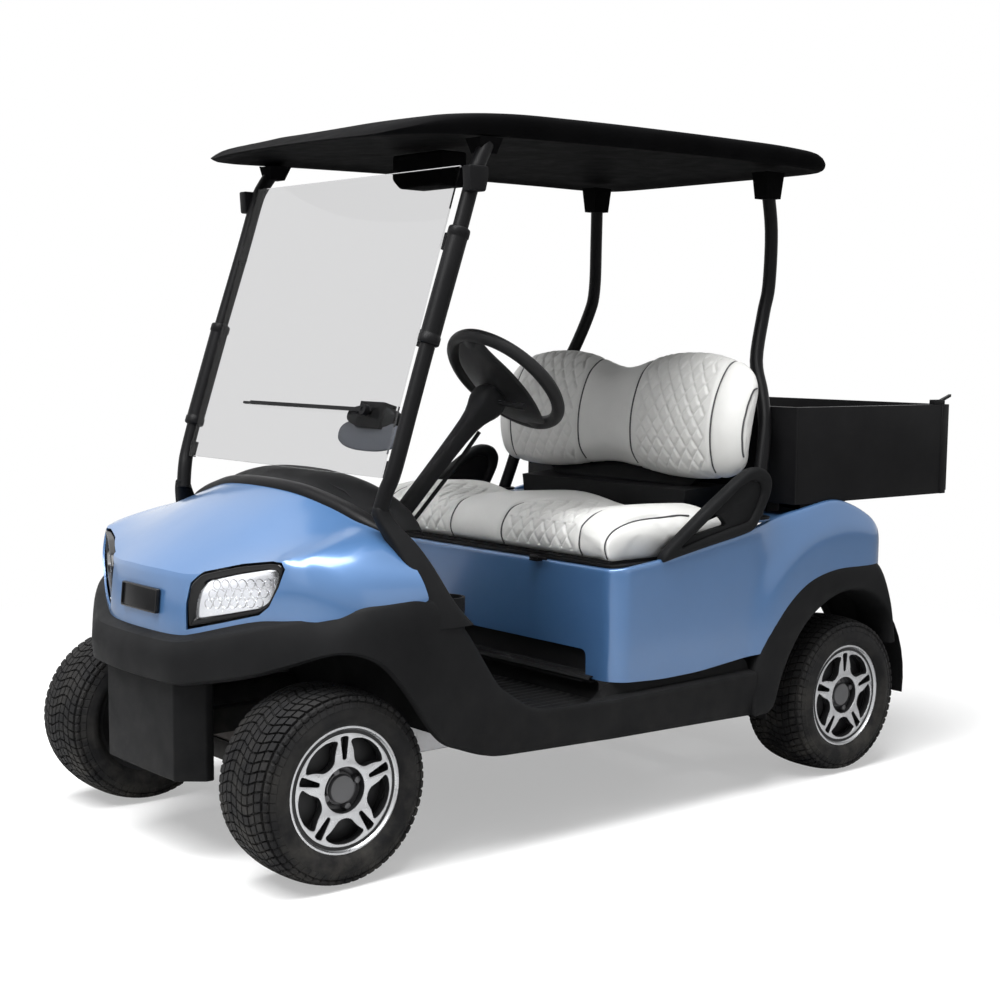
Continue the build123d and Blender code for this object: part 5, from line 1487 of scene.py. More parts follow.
@dataclass
class Canopy(Assembly):
    """Moulded roof: a shallow dome over a rolled rim with a hollow underside."""

    plan: tuple = ((0, -690), (120, -685), (230, -672), (330, -648), (400, -620), (450, -578),
                   (480, -520), (490, -430), (492, -300), (492, -100), (492, 150), (492, 400),
                   (490, 600), (486, 710), (476, 786), (450, 834), (400, 852), (330, 858),
                   (200, 859), (0, 859))
    # station against height of the rim's top edge and of the rim's bottom edge
    rim_top: tuple = ((-690, 1662), (-640, 1668), (-600, 1684), (-540, 1705), (-430, 1721),
                      (-300, 1731), (0, 1738), (300, 1741), (600, 1742), (780, 1737), (815, 1725),
                      (859, 1697))
    rim_low: tuple = ((-690, 1653), (-640, 1654), (-560, 1658), (-450, 1663), (-300, 1668),
                      (0, 1675), (300, 1680), (600, 1682), (859, 1680))
    crown: tuple = ((-690, 0), (-600, 8), (-450, 12), (-200, 9), (100, 5), (400, 3), (650, 2),
                    (780, 4), (859, 0))

    def build(self, frame: dict) -> None:
        """Skin the dome, the rim and the underside as one closed shell."""
        outline = [*self.plan, *((-x, y) for x, y in reversed(self.plan[1:-1]))]
        dense = smooth_line([Vector((x, y, 0)) for x, y in outline + outline[:1]], 2)[:-1]
        rings = []
        shares = ((0.0, "crown"), (0.35, "crown"), (0.62, "crown"), (0.82, "crown"),
                  (0.93, "crown"), (0.975, "edge"), (0.998, "lip"), (1.0, "side"), (0.985, "low"),
                  (0.95, "under"), (0.90, "inner"), (0.86, "roof"), (0.5, "roof"), (0.0, "roof"))
        for share, kind in shares:
            rings.append([self._point(point, share, kind) for point in dense])
        shell = Bench.lay("canopy_shell", rings, closed=True)
        Bench.merge(shell, 0.0003, outward=True)
        Bench.subdivide(shell, 1)
        Bench.smooth(shell, 40)
        self.palette.dress(shell, Slot.CANOPY)
        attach(shell, "chassis")
        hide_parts("canopy")

    def _point(self, edge: Vector, share: float, kind: str) -> Vector:
        """Point of one ring, at a share of the way out to the edge."""
        x, y = edge.x * share, 60 + (edge.y - 60) * share
        top, low = lerp_table(self.rim_top, y), lerp_table(self.rim_low, y)
        dome = lerp_table(self.crown, y)
        across = min(1.0, abs(x) / 492)
        if kind == "crown":
            rise = dome * (1 - across ** 2.4)
            edge_fall = 4 * ease(share, 0.80, 0.95)
            return at(x, y, top + rise * (1 - ease(share, 0.72, 1.0) * 0.75) - edge_fall)
        levels = {"edge": top - 5, "lip": top - 13, "side": (top + low) / 2, "low": low,
                  "under": low + 3, "inner": low + 12, "roof": low + 14}
        return at(x, y, levels[kind])


# ---------------------------------------------------------------- seats
class Upholstery:
    """Cloth recipe and seams that the cushion and the backrest share."""

    @staticmethod
    def swell(piece: Piece, voxel: float, pressure: float, cap: float) -> None:
        """Puff a closed form as cloth under pressure, with each point's travel capped.

        Args:
            piece: The closed form, slightly smaller than the finished cushion.
            voxel: Remesh size in metres.
            pressure: Cloth pressure.
            cap: The furthest that a point may move, in metres.
        """
        Bench.modify(piece, "REMESH", mode="VOXEL", voxel_size=voxel, use_smooth_shade=True)
        rest = [vertex.co.copy() for vertex in piece.data.vertices]
        Bench.take(piece)
        cloth = piece.modifiers.new("cloth", "CLOTH")
        settings = cloth.settings
        settings.use_pressure = True
        settings.uniform_pressure_force = pressure
        settings.effector_weights.gravity = 0.0
        settings.quality = 5
        settings.mass = 0.4
        settings.tension_stiffness = 12
        settings.compression_stiffness = 12
        settings.bending_stiffness = 1.5
        cloth.point_cache.frame_start = 1
        cloth.point_cache.frame_end = 20
        scene = bpy.context.scene
        for frame_number in range(1, 21):
            scene.frame_set(frame_number)
        bpy.ops.object.modifier_apply(modifier=cloth.name)
        scene.frame_set(1)
        for vertex, start in zip(piece.data.vertices, rest):
            travel = vertex.co - start
            if travel.length > cap:
                vertex.co = start + travel.normalized() * cap
        Bench.modify(piece, "SMOOTH", factor=0.5, iterations=6)

    @staticmethod
    def press(piece: Piece, depth: Callable[[Vector, Vector], float]) -> None:
        """Press every point of a piece in along its own normal.

        Args:
            piece: The cushion.
            depth: Depth in metres at a point, from its place and its normal.
        """
        count = len(piece.data.vertices)
        places, normals = [0.0] * (3 * count), [0.0] * (3 * count)
        piece.data.vertices.foreach_get("co", places)
        piece.data.vertex_normals.foreach_get("vector", normals)
        for index in range(0, 3 * count, 3):
            spot, normal = Vector(places[index:index + 3]), Vector(normals[index:index + 3])
            places[index:index + 3] = spot - normal * depth(spot, normal)
        piece.data.vertices.foreach_set("co", places)
        piece.data.update()

    @staticmethod
    def groove(x: float, lines: Iterable[float], width: float = 0.0065) -> float:
        """How deep a place lies in the nearest of the seams, from 0 to 1."""
        away = min(abs(x - line) for line in lines)
        return math.exp(-((away / width) ** 2)) if away < 3 * width else 0.0


@dataclass
class BenchSeat(Assembly):
    """Seat cushion and backrest in pale leather with quilted panels and dark piping."""

    seams: tuple = (-0.42, -0.11, 0.11, 0.42)
    pitch: float = 0.044
    quilt_depth: float = 0.0055
    seam_depth: float = 0.006
    # |x| where a quilted panel starts, is full, starts to fade and ends
    panel: tuple = (0.125, 0.140, 0.390, 0.405)
    voxel: float = 0.007
    pressure: float = 3.0
    travel: float = 0.012

    def build(self, frame: dict) -> None:
        """Build both padded pieces."""
        self._cushion()
        self._backrest()

    def _quilt(self, across: float, along: float) -> float:
        """Depth of the diamond stitching at a place on a quilted panel, from 0 to 1."""
        u, v = across / self.pitch, along / (self.pitch * 1.35)
        one = abs(((u + v) % 1.0) - 0.5) * 2
        two = abs(((u - v) % 1.0) - 0.5) * 2
        return max(math.exp(-((1 - one) / 0.20) ** 2), math.exp(-((1 - two) / 0.20) ** 2))

    def _panel(self, x: float) -> float:
        """How fully a place across the seat lies in a quilted panel, from 0 to 1."""
        start, full, fading, end = self.panel
        return ease(abs(x), start, full) * (1 - ease(abs(x), fading, end))

    def _cushion_form(self) -> Piece:
        """Closed form of the cushion before it swells."""
        rows = []
        stations = [-548, -536, -515, -470, -420, -350, -280, -210, -150, -90, -30]
        stations += [-x for x in reversed(stations)]
        for x in stations:
            edge = ease(abs(x), 548, 500)
            hump = 15 * math.cos(2 * math.pi * x / 470) * ease(abs(x), 560, 480)
            profile = ((-52, 654), (-64, 680), (-66, 712), (-48, 744), (-4, 761), (60, 768),
                       (150, 766), (240, 763), (320, 760), (368, 752), (384, 725), (384, 690),
                       (378, 654))
            row = []
            for y, z in profile:
                lift = hump * ease(z, 690, 760) * ease(y, -50, 100)
                row.append(at(x, y, 654 + ((z - 654) * (0.80 + 0.20 * edge) + lift)))
            rows.append(row)
        form = Bench.lay("seat_cushion_pad", rows, closed=True, facing=at(0, 150, 700))
        Bench.cap_ends(form)
        Bench.subdivide(form, 2)
        return form

    def _cushion(self) -> None:
        """Seat cushion: crowned top with hollows, seams that fade towards the back."""
        pad = self._cushion_form()
        Upholstery.swell(pad, self.voxel, self.pressure, self.travel)
        Bench.subdivide(pad, 1)
        front = at(0, -60, 0).y

        def bite(point: Vector) -> float:
            """Seams bite from the hem up over the front edge and fade on top."""
            return (1 - ease(point.y, front + 0.16, front + 0.24)) * ease(point.z, 0.664, 0.675)

        lines = self.seams + (-0.522, 0.522)

        def depth(point: Vector, normal: Vector) -> float:
            """Seams and stitching together."""
            x, y, z = point
            pressed = self.seam_depth * Upholstery.groove(x, lines) * bite(point)
            if z > 0.68:
                run = (y - front) if z > 0.745 else (z - 0.745)
                fade = (1 - ease(y, front + 0.28, front + 0.36)) * self._panel(x)
                pressed += self.quilt_depth * self._quilt(abs(x), run) * fade
            return pressed

        Upholstery.press(pad, depth)
        Bench.smooth(pad, 60)
        self.palette.dress(pad, Slot.LEATHER)
        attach(pad, "seat_lid")
        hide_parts("seat_cushion")

    def _back_rows(self) -> list[list[Vector]]:
        """Rows across the cart of the backrest's section, leaned back."""
        # share up the back, y of the face
        profile = ((0.0, 462), (0.06, 446), (0.20, 430), (0.45, 424), (0.70, 446), (0.88, 478),
                   (0.97, 502), (1.0, 522), (0.97, 545), (0.85, 556), (0.60, 535), (0.30, 514),
                   (0.06, 500), (0.0, 488))
        top = ((0, 1146), (40, 1152), (90, 1170), (160, 1190), (240, 1197), (330, 1196),
               (400, 1184), (460, 1160), (500, 1128), (525, 1080))
        base = ((0, 850), (60, 846), (110, 838), (200, 824), (300, 820), (400, 824), (470, 840),
                (510, 866), (525, 900))
        rows = []
        for x in (0, 55, 110, 170, 230, 300, 360, 420, 470, 505, 522):
            high, low = lerp_table(top, x), lerp_table(base, x)
            squeeze = 1 - 0.75 * ease(x, 470, 524)
            row = []
            for share, y in profile:
                middle = 487 + 30 * (share - 0.4)
                row.append(at(x, middle + (y - middle) * squeeze, low + (high - low) * share))
            rows.append(row)
        return both_sides(rows)

    def _backrest(self) -> None:
        """Backrest: two humps with a notch between them, quilted between the seams."""
        pad = Bench.lay("backrest_pad", self._back_rows(), closed=True, facing=at(0, 487, 1000))
        Bench.cap_ends(pad)
        Bench.subdivide(pad, 2)
        Upholstery.swell(pad, self.voxel, self.pressure, self.travel)
        Bench.subdivide(pad, 1)
        middle = at(0, 500, 0).y

        def bite(point: Vector) -> float:
            """Seams bite over the face and the top, not the back."""
            return 1 - ease(point.y, middle + 0.02, middle + 0.05)

        def depth(point: Vector, normal: Vector) -> float:
            """Seams and stitching together."""
            x, _, z = point
            pressed = self.seam_depth * Upholstery.groove(x, self.seams) * bite(point)
            if normal.y < 0.2:
                fade = self._panel(x) * ease(z, 0.84, 0.87)
                pressed += self.quilt_depth * self._quilt(abs(x), z) * fade
            return pressed

        Upholstery.press(pad, depth)
        Bench.smooth(pad, 60)
        self.palette.dress(pad, Slot.LEATHER)
        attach(pad, "chassis")
        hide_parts("backrest")


# ---------------------------------------------------------------- cockpit
@dataclass
class Brow(Assembly):
    """Dark cowl behind the hood, with the thick trim along the hood's rear edge."""

    dash_station: float = -552.0
    # x and height of the cowl's arch, half the cart
    arch: tuple = ((0, 891), (90, 889), (170, 882), (240, 871), (300, 857), (350, 841), (400, 817),
                   (432, 790), (452, 762), (458, 735))

    def build(self, frame: dict) -> None:
        """Build the cowl and its trim as one piece."""
        line = [Vector(column[-1]) for column in Hood(self.palette).columns[:-1]]
        line[-1] = Vector((446, -654, 762))
        full = [row[0] for row in blend_rows(both_sides([[p] for p in line]), 3)]
        trim = self._trim(full)
        skin = self._skin(full)
        cowl = Bench.join("cowl", [trim, skin])
        Bench.smooth(cowl, 40)
        self.palette.dress(cowl, Slot.PLASTIC)
        self._gloss(cowl)
        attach(cowl, "chassis")
        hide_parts("cowl_top")

    def _gloss(self, cowl: Piece) -> None:
        """Give the trim its blacker finish: it lies ahead of the cowl's skin."""
        cowl.data.materials.append(self.palette.materials[Slot.BLACK])
        layer = cowl.data.attributes["trim"].data
        for polygon in cowl.data.polygons:
            if layer[polygon.index].value > 0.5:
                polygon.material_index = 1

    @staticmethod
    def _mark(piece: Piece, value: float) -> None:
        """Mark every face of a part as trim or not."""
        layer = piece.data.attributes.new("trim", "FLOAT", "FACE")
        for item in layer.data:
            item.value = value

    def _trim(self, line: Sequence[Vector]) -> Piece:
        """Rounded band that stands on the hood's rear edge."""
        profile = ((-9, -8), (-9, 2), (-6, 9), (2, 14), (12, 16), (24, 16), (33, 13), (39, 6),
                   (40, -10))
        rows = []
        for point in line:
            fall = 1 - 0.45 * ease(abs(point.x), 360, 446)
            rows.append([at(point.x, point.y + back * fall, point.z + up * fall)
                         for back, up in profile])
        trim = Bench.lay("trim_part", rows, facing=at(0, -740, 600))
        self._mark(trim, 1.0)
        Bench.subdivide(trim, 1)
        return trim

    def _skin(self, line: Sequence[Vector]) -> Piece:
        """Cowl's skin from the trim back to the dash."""
        back = ((0.18, 2), (0.40, 0), (0.65, 1), (0.84, 4), (0.95, 9), (1.0, 20))
        rows = []
        for point in line:
            start = Vector((point.x, point.y + 32, point.z + 6))
            high = lerp_table(self.arch, abs(point.x))
            column = [at(*start)]
            for share, drop in back:
                station = start.y + (self.dash_station - start.y) * share
                level = start.z + (high - drop - start.z) * ease(share, 0.0, 0.6)
                column.append(at(point.x, station, level))
            rows.append(column)
        skin = Bench.lay("skin_part", rows, facing=at(0, -640, 600))
        self._mark(skin, 0.0)
        Bench.subdivide(skin, 1)
        Bench.thicken(skin, 0.003)
        return skin


@dataclass
class SteeringWheel(Assembly):
    """Padded rim with a dished body across it, in the steering column's own frame."""

    centre: tuple = (270, -170, 1106)
    rake: float = 44.0
    radius: float = 0.1566
    grip: float = 0.0165
    # half width of the body against the distance along the rake
    body: tuple = ((-0.158, 0.036), (-0.146, 0.044), (-0.125, 0.058), (-0.095, 0.078),
                   (-0.055, 0.091), (0.0, 0.097), (0.055, 0.091), (0.095, 0.078), (0.125, 0.058),
                   (0.146, 0.044), (0.158, 0.036))

    def place(self) -> Matrix:
        """Frame with x across, y along the rake towards the driver and z up the column."""
        s, c = math.sin(math.radians(self.rake)), math.cos(math.radians(self.rake))
        matrix = Matrix(((1, 0, 0), (0, c, s), (0, -s, c))).to_4x4()
        matrix.translation = at(*self.centre)
        return matrix

    def build(self, frame: dict) -> None:
        """Build the wheel and its score-card clip."""
        Bench.clear()
        bpy.ops.mesh.primitive_torus_add(major_radius=self.radius, minor_radius=self.grip,
                                         major_segments=96, minor_segments=20)
        rim = bpy.context.object
        for vertex in rim.data.vertices:
            angle = math.atan2(vertex.co.y, vertex.co.x)
            ring = Vector((math.cos(angle), math.sin(angle), 0)) * self.radius
            swell = 1 + 0.06 * math.cos(angle * 2) ** 8
            vertex.co = ring + (vertex.co - ring) * swell
        rows = []
        for y, wide in self.body:
            end = ease(abs(y), 0.10, 0.158)
            row = []
            for u, v in squared_ring(24, 0.8, 0.7):
                x = wide * u
                hollow = (1 - (x / wide) ** 2)
                top = -0.014 - 0.014 * hollow + 0.010 * end
                cone = 0.030 * math.exp(-((x / 0.052) ** 2 + (y / 0.060) ** 2))
                low = -0.034 - cone + 0.022 * end
                middle, half = (top + low) / 2, (top - low) / 2
                row.append(Vector((x, y, middle + half * v)))
            rows.append(row)
        body = Bench.lay("wheel_body", blend_rows(rows, 2), closed=True)
        Bench.cap_ends(body)
        Bench.subdivide(body, 1)
        outline = rectangle(-0.052, 0.052, -0.042, 0.042)
        clip = Bench.plate("clip", [round_corners(outline, 0.012)],
                           Matrix.Translation((0, 0, -0.015)), 0.008, 0.002)
        wheel = Bench.join("steering_wheel_rim", [rim, body, clip])
        wheel.data.transform(self.place())
        Bench.smooth(wheel, 45)
        self.palette.dress(wheel, Slot.GRIP)
        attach(wheel, "helm")
        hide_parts("steering_wheel")
        self._shroud()

    def _shroud(self) -> None:
        """Column shroud that narrows from the wheel down to the dash, a stalk and a thin rod."""
        place = self.place()
        rings = ((-0.049, 0.030, 0.030), (-0.051, 0.038, 0.036), (-0.060, 0.042, 0.040),
                 (-0.080, 0.042, 0.046), (-0.102, 0.036, 0.042), (-0.128, 0.026, 0.028),
                 (-0.180, 0.021, 0.022), (-0.330, 0.020, 0.020), (-0.440, 0.020, 0.020),
                 (-0.545, 0.020, 0.020))
        rows = [[place @ Vector((wide * u - 0.008 * ease(-z, 0.10, 0.18), deep * v - 0.004, z))
                 for u, v in squared_ring(20, 0.75, 0.75)] for z, wide, deep in rings]
        shroud = Bench.lay("column_shroud", rows, closed=True)
        Bench.cap_ends(shroud)
        Bench.subdivide(shroud, 1)
        bars = (  # name, radius and points in the wheel's frame
            ("stalk", 0.006, ((0.03, 0, -0.075), (0.075, 0.004, -0.078), (0.105, 0.012, -0.074))),
            ("stalk_end", 0.009, ((0.100, 0.010, -0.075), (0.122, 0.016, -0.072))),
            ("brace_rod", 0.0055, ((0.0, 0.030, -0.150), (-0.006, 0.036, -0.200),
                                   (-0.008, 0.039, -0.300), (-0.008, 0.034, -0.510))),
        )
        parts = [Bench.sweep(name, [place @ Vector(p) for p in points], radius)
                 for name, radius, points in bars]
        piece = Bench.join("steering_shroud", [shroud] + parts)
        Bench.smooth(piece, 45)
        self.palette.dress(piece, Slot.PLASTIC)
        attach(piece, "chassis")
        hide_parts("steering_column")


@dataclass
class HipRestraints(Assembly):
    """Moulded loops beside the seat, open below and webbed above."""

    outer: tuple = ((88, 655), (92, 676), (112, 694), (240, 782), (370, 862), (408, 880),
                    (442, 884), (474, 872), (492, 845), (486, 812), (462, 768), (436, 730),
                    (420, 716), (374, 706), (240, 684), (130, 664))
    window: tuple = ((150, 690), (240, 748), (370, 834), (412, 850), (446, 842), (452, 818),
                     (432, 776), (406, 742), (330, 728), (240, 710))
    # the slot left open in the web that fills the window
    web: tuple = ((186, 716), (262, 768), (300, 760), (322, 738), (262, 728))

    def build(self, frame: dict) -> None:
        """Build the left loop and its mirror image as one piece."""
        place = side_on(0.5725)

        def outline(points: Outline, radius: float) -> list:
            """Side outline in metres with rounded corners."""
            return round_corners([(at(0, y, 0).y, z / 1000) for y, z in points], radius, 4)

        opening = outline(self.window, 0.012)
        loop = Bench.plate("loop", [outline(self.outer, 0.018), opening], place, 0.036, 0.011, 4)
        inner = Bench.plate("web", [opening, outline(self.web, 0.010)], place, 0.018, 0.002)
        left = Bench.join("restraint_left", [loop, inner])
        right = Bench.copy(left, "restraint_right", mirror_x())
        pair = Bench.join("hip_restraint_loops", [left, right])
        Bench.smooth(pair, 40)
        self.palette.dress(pair, Slot.PLASTIC)
        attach(pair, "chassis")
        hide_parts("hip_restraints")


def slim_dash(point: Vector) -> Vector:
    """Narrow and shorten the dash about its middle."""
    middle = -0.7625
    return Vector((point.x * 0.86, middle + (point.y - middle) * 0.62, point.z))


def outer_clips(point: Vector) -> Vector:
    """Keep the windscreen's clips from reaching in over the glass."""
    return Vector((math.copysign(max(abs(point.x), 0.4405), point.x), point.y, point.z))


def raised_hinges(point: Vector) -> Vector:
    """Keep the seat hinges' lower ends level with the gasket."""
    return Vector((point.x, point.y, max(point.z, 0.643)))


def waisted_back(point: Vector) -> Vector:
    """Narrow the backrest's housing towards its foot."""
    return Vector((point.x * (0.70 + 0.30 * ease(point.z, 0.78, 0.90)), point.y, point.z))


def inset_pan(point: Vector) -> Vector:
    """Draw the seat's pan in below the cushion."""
    return Vector((point.x * 0.97, max(point.y, at(0, -46, 0).y), point.z))


def taper(point: Vector) -> Vector:
    """Narrow a roof bracket towards its foot, about the strut that it holds."""
    x, station = (0.462, -0.398) if point.y < 0 else (0.352, 0.703)
    centre = Vector((math.copysign(x, point.x), at(0, station * 1000, 0).y))
    low, high, slim = (1.62, 1.675, 0.62) if point.y < 0 else (1.62, 1.65, 0.80)
    share = slim + (1 - slim) * ease(point.z, low, high)
    away = (point.xy - centre) * share
    return Vector((*(centre + away), point.z))


TRIMS = {
    "dash": slim_dash,
    "windscreen_clips": outer_clips,
    "seat_hinges": raised_hinges,
    "backrest_frame": waisted_back,
    "canopy_brackets": taper,
    "seat_pan": inset_pan,
}


@dataclass
class Softened(Assembly):
    """Rigid pieces whose packed form is right: each is copied and its edges are rounded."""

    # node, body, slot, radius of the edges in millimetres
    jobs: tuple = (
        ("dash", "chassis", Slot.PLASTIC, 7.0),
        ("front_fascia", "chassis", Slot.PLASTIC, 16.0),
        ("cup_holders", "chassis", Slot.PLASTIC, 1.6),
        ("pedals", "chassis", Slot.BLACK, 2.5),
        ("seat_pan", "seat_lid", Slot.PLASTIC, 2.5),
        ("seat_hinges", "chassis", Slot.BLACK, 1.0),
        ("backrest_frame", "chassis", Slot.PLASTIC, 4.0),
        ("box_sides", "chassis", Slot.BLACK, 1.6),
        ("box_front", "chassis", Slot.BLACK, 1.6),
        ("tailgate", "gate", Slot.BLACK, 1.8),
        ("box_hardware", "chassis", Slot.BLACK, 1.4),
        ("canopy_brackets", "chassis", Slot.CANOPY, 5.0),
        ("windscreen_clips", "chassis", Slot.BLACK, 3.0),
        ("front_rails", "chassis", Slot.FRAME, 2.5),
        ("side_rails", "chassis", Slot.FRAME, 2.5),
        ("front_axle_beam", "chassis", Slot.CASTING, 3.0),
        ("tail_lamps", "chassis", Slot.RED, 3.0),
        ("wiper_motor", "chassis", Slot.PLASTIC, 5.0),
    )

    def build(self, frame: dict) -> None:
        """Copy, merge, bevel and dress each one."""
        for node, body, slot, radius in self.jobs:
            source = frame["nodes"][node]
            piece = source.copy()
            piece.data = source.data.copy()
            piece.name = f"{node}_moulding"
            piece.parent = None
            bpy.context.scene.collection.objects.link(piece)
            piece.matrix_world = Matrix()
            Bench.merge(piece, 0.00002)
            if node in TRIMS:
                for vertex in piece.data.vertices:
                    vertex.co = TRIMS[node](vertex.co)
            Bench.modify(piece, "DECIMATE", decimate_type="DISSOLVE", angle_limit=math.radians(1.0))
            Bench.modify(piece, "BEVEL", width=radius / 1000, segments=3, limit_method="ANGLE",
                         angle_limit=math.radians(30), use_clamp_overlap=True)
            Bench.smooth(piece, 40)
            # the front rails get the frame's alloy darkened as painted shade
            self.palette.dress(piece, slot, "frame in painted shade" if node == "front_rails" else None)
            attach(piece, body)
            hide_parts(node)


@dataclass
class Struts(Assembly):
    """Bent round struts that carry the canopy, with thick sleeves on the front pair."""

    radius: float = 0.0185
    sleeve_radius: float = 0.0258
    front: tuple = ((448, -681, 806), (460, -670, 862), (470, -654, 912), (472, -610, 1052),
                    (472, -564, 1192), (472, -482, 1432), (472, -437, 1569), (469, -418, 1610),
                    (463, -392, 1650))
    rear: tuple = ((534, 488, 736), (522, 505, 800), (494, 556, 970), (440, 602, 1070),
                   (388, 634, 1160), (363, 686, 1290), (361, 708, 1370), (361, 712, 1520),
                   (350, 703, 1642))
    # sleeve's lower and upper height on the left and the right strut
    sleeves: tuple = ((1.1915, 1.4557), (0.9708, 1.2367))

    def build(self, frame: dict) -> None:
        """Build both pairs."""
        fronts, rears = [], []
        for hand, sleeve in zip((1, -1), self.sleeves):
            line = smooth_line([at(hand * x, y, z) for x, y, z in self.front], 5)
            fronts.append(Bench.sweep("strut", line, self.radius, 20))
            fronts.append(self._sleeve(line, *sleeve))
            fronts.append(self._hinge(hand))
            line = smooth_line([at(hand * x, y, z) for x, y, z in self.rear], 5)
            rears.append(Bench.sweep("strut", line, self.radius, 20))
            rears.append(self._foot(line[0]))
        for name, parts, node in (("front_canopy_struts", fronts, "front_struts"),
                                  ("rear_canopy_struts", rears, "rear_struts")):
            piece = Bench.join(name, parts)
            Bench.smooth(piece, 45)
            self.palette.dress(piece, Slot.BLACK)
            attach(piece, "chassis")
            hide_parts(node)

    @staticmethod
    def _height_point(line: Sequence[Vector], height: float) -> Vector:
        """Point of a rising line at a height."""
        for a, b in zip(line, line[1:]):
            if a.z <= height <= b.z:
                return a.lerp(b, (height - a.z) / (b.z - a.z))
        return line[-1].copy()

    def _sleeve(self, line: Sequence[Vector], low: float, high: float) -> Piece:
        """Sleeve with a stepped collar at each end, round the strut between two heights."""
        start, end = self._height_point(line, low), self._height_point(line, high)
        run = end - start
        length = run.length
        turn = run.to_track_quat("Z", "X").to_matrix().to_4x4()
        turn.translation = start
        big, small = self.sleeve_radius, self.radius + 0.001
        rings = ((0.0, small), (0.0, big - 0.004), (0.002, big - 0.001), (0.006, big), (0.020, big),
                 (0.022, big - 0.002), (0.026, big - 0.002), (length / 2, big - 0.002),
                 (length - 0.026, big - 0.002), (length - 0.022, big - 0.002),
                 (length - 0.020, big), (length - 0.006, big), (length - 0.002, big - 0.001),
                 (length, big - 0.004), (length, small))
        rows = [[turn @ Vector((x, y, z)) for x, y in circle(radius, 24)] for z, radius in rings]
        return Bench.lay("sleeve", rows, closed=True, facing=start.lerp(end, 0.5))

    @staticmethod
    def _hinge(hand: int) -> Piece:
        """Moulded fitting on the outer side of a front strut below the roof."""
        outline = [(-0.026, -0.028), (0.018, -0.028), (0.026, 0.006), (0.026, 0.030),
                   (-0.030, 0.030)]
        place = side_on(hand * 0.490, at(0, -443, 0).y, 1.566)
        return Bench.plate("fitting", [round_corners(outline, 0.006)], place, 0.030, 0.004)

    def _foot(self, spot: Vector) -> Piece:
        """Round flange at a rear strut's foot."""
        Bench.clear()
        bpy.ops.mesh.primitive_cylinder_add(vertices=32, radius=0.036, depth=0.008,
                                            location=(spot.x, spot.y, 0.7445))
        flange = Bench.join("foot", [bpy.context.object])
        Bench.modify(flange, "BEVEL", width=0.002, segments=2)
        return flange


@dataclass
class Nose(Assembly):
    """Blank nameplate on the painted face."""

    def build(self, frame: dict) -> None:
        """Build the plate with its raised rim."""
        outline = rectangle(-0.086, 0.086, -0.029, 0.029)
        face = Matrix(((1, 0, 0, 0), (0, 0.094, -0.9956, at(0, -1037, 0).y),
                       (0, 0.9956, 0.094, 0.612), (0, 0, 0, 1)))
        face = face @ Matrix.Translation((0, -0.011, 0))
        plate = Bench.plate("plate", [round_corners(outline, 0.006)], face, 0.008, 0.0015)
        inside = round_corners([(u * 0.95, v * 0.86) for u, v in outline], 0.004)
        rim = Bench.plate("plate_rim", [round_corners(outline, 0.006), inside],
                          face @ Matrix.Translation((0, 0, 0.0045)), 0.003, 0.001)
        piece = Bench.join("blank_nameplate", [plate, rim])
        self.palette.dress(piece, Slot.BEZEL)
        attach(piece, "chassis")


@dataclass
class Fittings(Assembly):
    """Gasket below the seat's lid, overhead console, and the wiper motor's covers."""

    def build(self, frame: dict) -> None:
        """Build each small fitting."""
        rim, hole = rectangle(-0.556, 0.556, -0.053, 0.376), rectangle(-0.520, 0.520, -0.020, 0.346)
        gasket = Bench.plate("lid_gasket", [round_corners(rim, 0.030), round_corners(hole, 0.015)],
                             Matrix.Translation(at(0, 0, 651)), 0.012, 0.003)
        self.palette.dress(gasket, Slot.BLACK)
        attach(gasket, "chassis")
        side = [(-0.088, -0.032), (0.090, -0.032), (0.090, 0.055), (-0.120, 0.055),
                (-0.120, -0.008)]
        place = Matrix(((1, 0, 0, 0.070), (0, 0, -1, -0.3665), (0, 1, 0, 1.617), (0, 0, 0, 1)))
        pod = Bench.plate("overhead_console", [round_corners(side, 0.008)], place, 0.080, 0.006, 3)
        self.palette.dress(pod, Slot.CANOPY)
        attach(pod, "chassis")
        self._covers()
        self._liners()

    def _liners(self) -> None:
        """Dark wheel houses inside the rear arches, clear of the tyres."""
        station, height, radius = 806, 236, 300
        rows = []
        for step in range(25):
            turn = math.radians(-8 + 196 * step / 24)
            y, z = station - radius * math.cos(turn), height + radius * math.sin(turn)
            rows.append([at(x, y, z) for x in (572, 540, 440, 340)]
                        + [at(332, y + (800 - y) * 0.06, z - (z - height) * 0.06)])
        left = Bench.lay("liner_left", rows, facing=at(440, 806, 900))
        Bench.thicken(left, 0.003)
        right = Bench.copy(left, "liner_right", mirror_x())
        liners = Bench.join("wheel_liners", [left, right])
        Bench.smooth(liners, 40)
        self.palette.dress(liners, Slot.PLASTIC)
        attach(liners, "chassis")

    def _covers(self) -> None:
        """Dark cover and grey oval plate inside the glass, over the wiper's motor."""
        foot, head = at(0, -666, 892), at(0, -446, 1598)
        up = (head - foot).normalized()
        out = Vector((0, -up.z, up.y))
        for name, x, rise, wide, tall, back, thick, slot in (
                ("wiper_cover", 0.322, 0.142, 0.096, 0.027, 0.020, 0.024, Slot.PLASTIC),
                ("wiper_plate", 0.328, 0.098, 0.122, 0.038, 0.014, 0.008, Slot.FRAME)):
            spot = foot + up * rise - out * back
            place = Matrix(((1, 0, 0, x), (0, up.y, out.y, spot.y), (0, up.z, out.z, spot.z),
                            (0, 0, 0, 1)))
            ring = [(wide * u, tall * v) for u, v in squared_ring(40, 0.8, 0.8)]
            cover = Bench.plate(name, [ring], place, thick, 0.003)
            self.palette.dress(cover, slot, "plate grey" if slot is Slot.FRAME else None)
            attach(cover, "chassis")


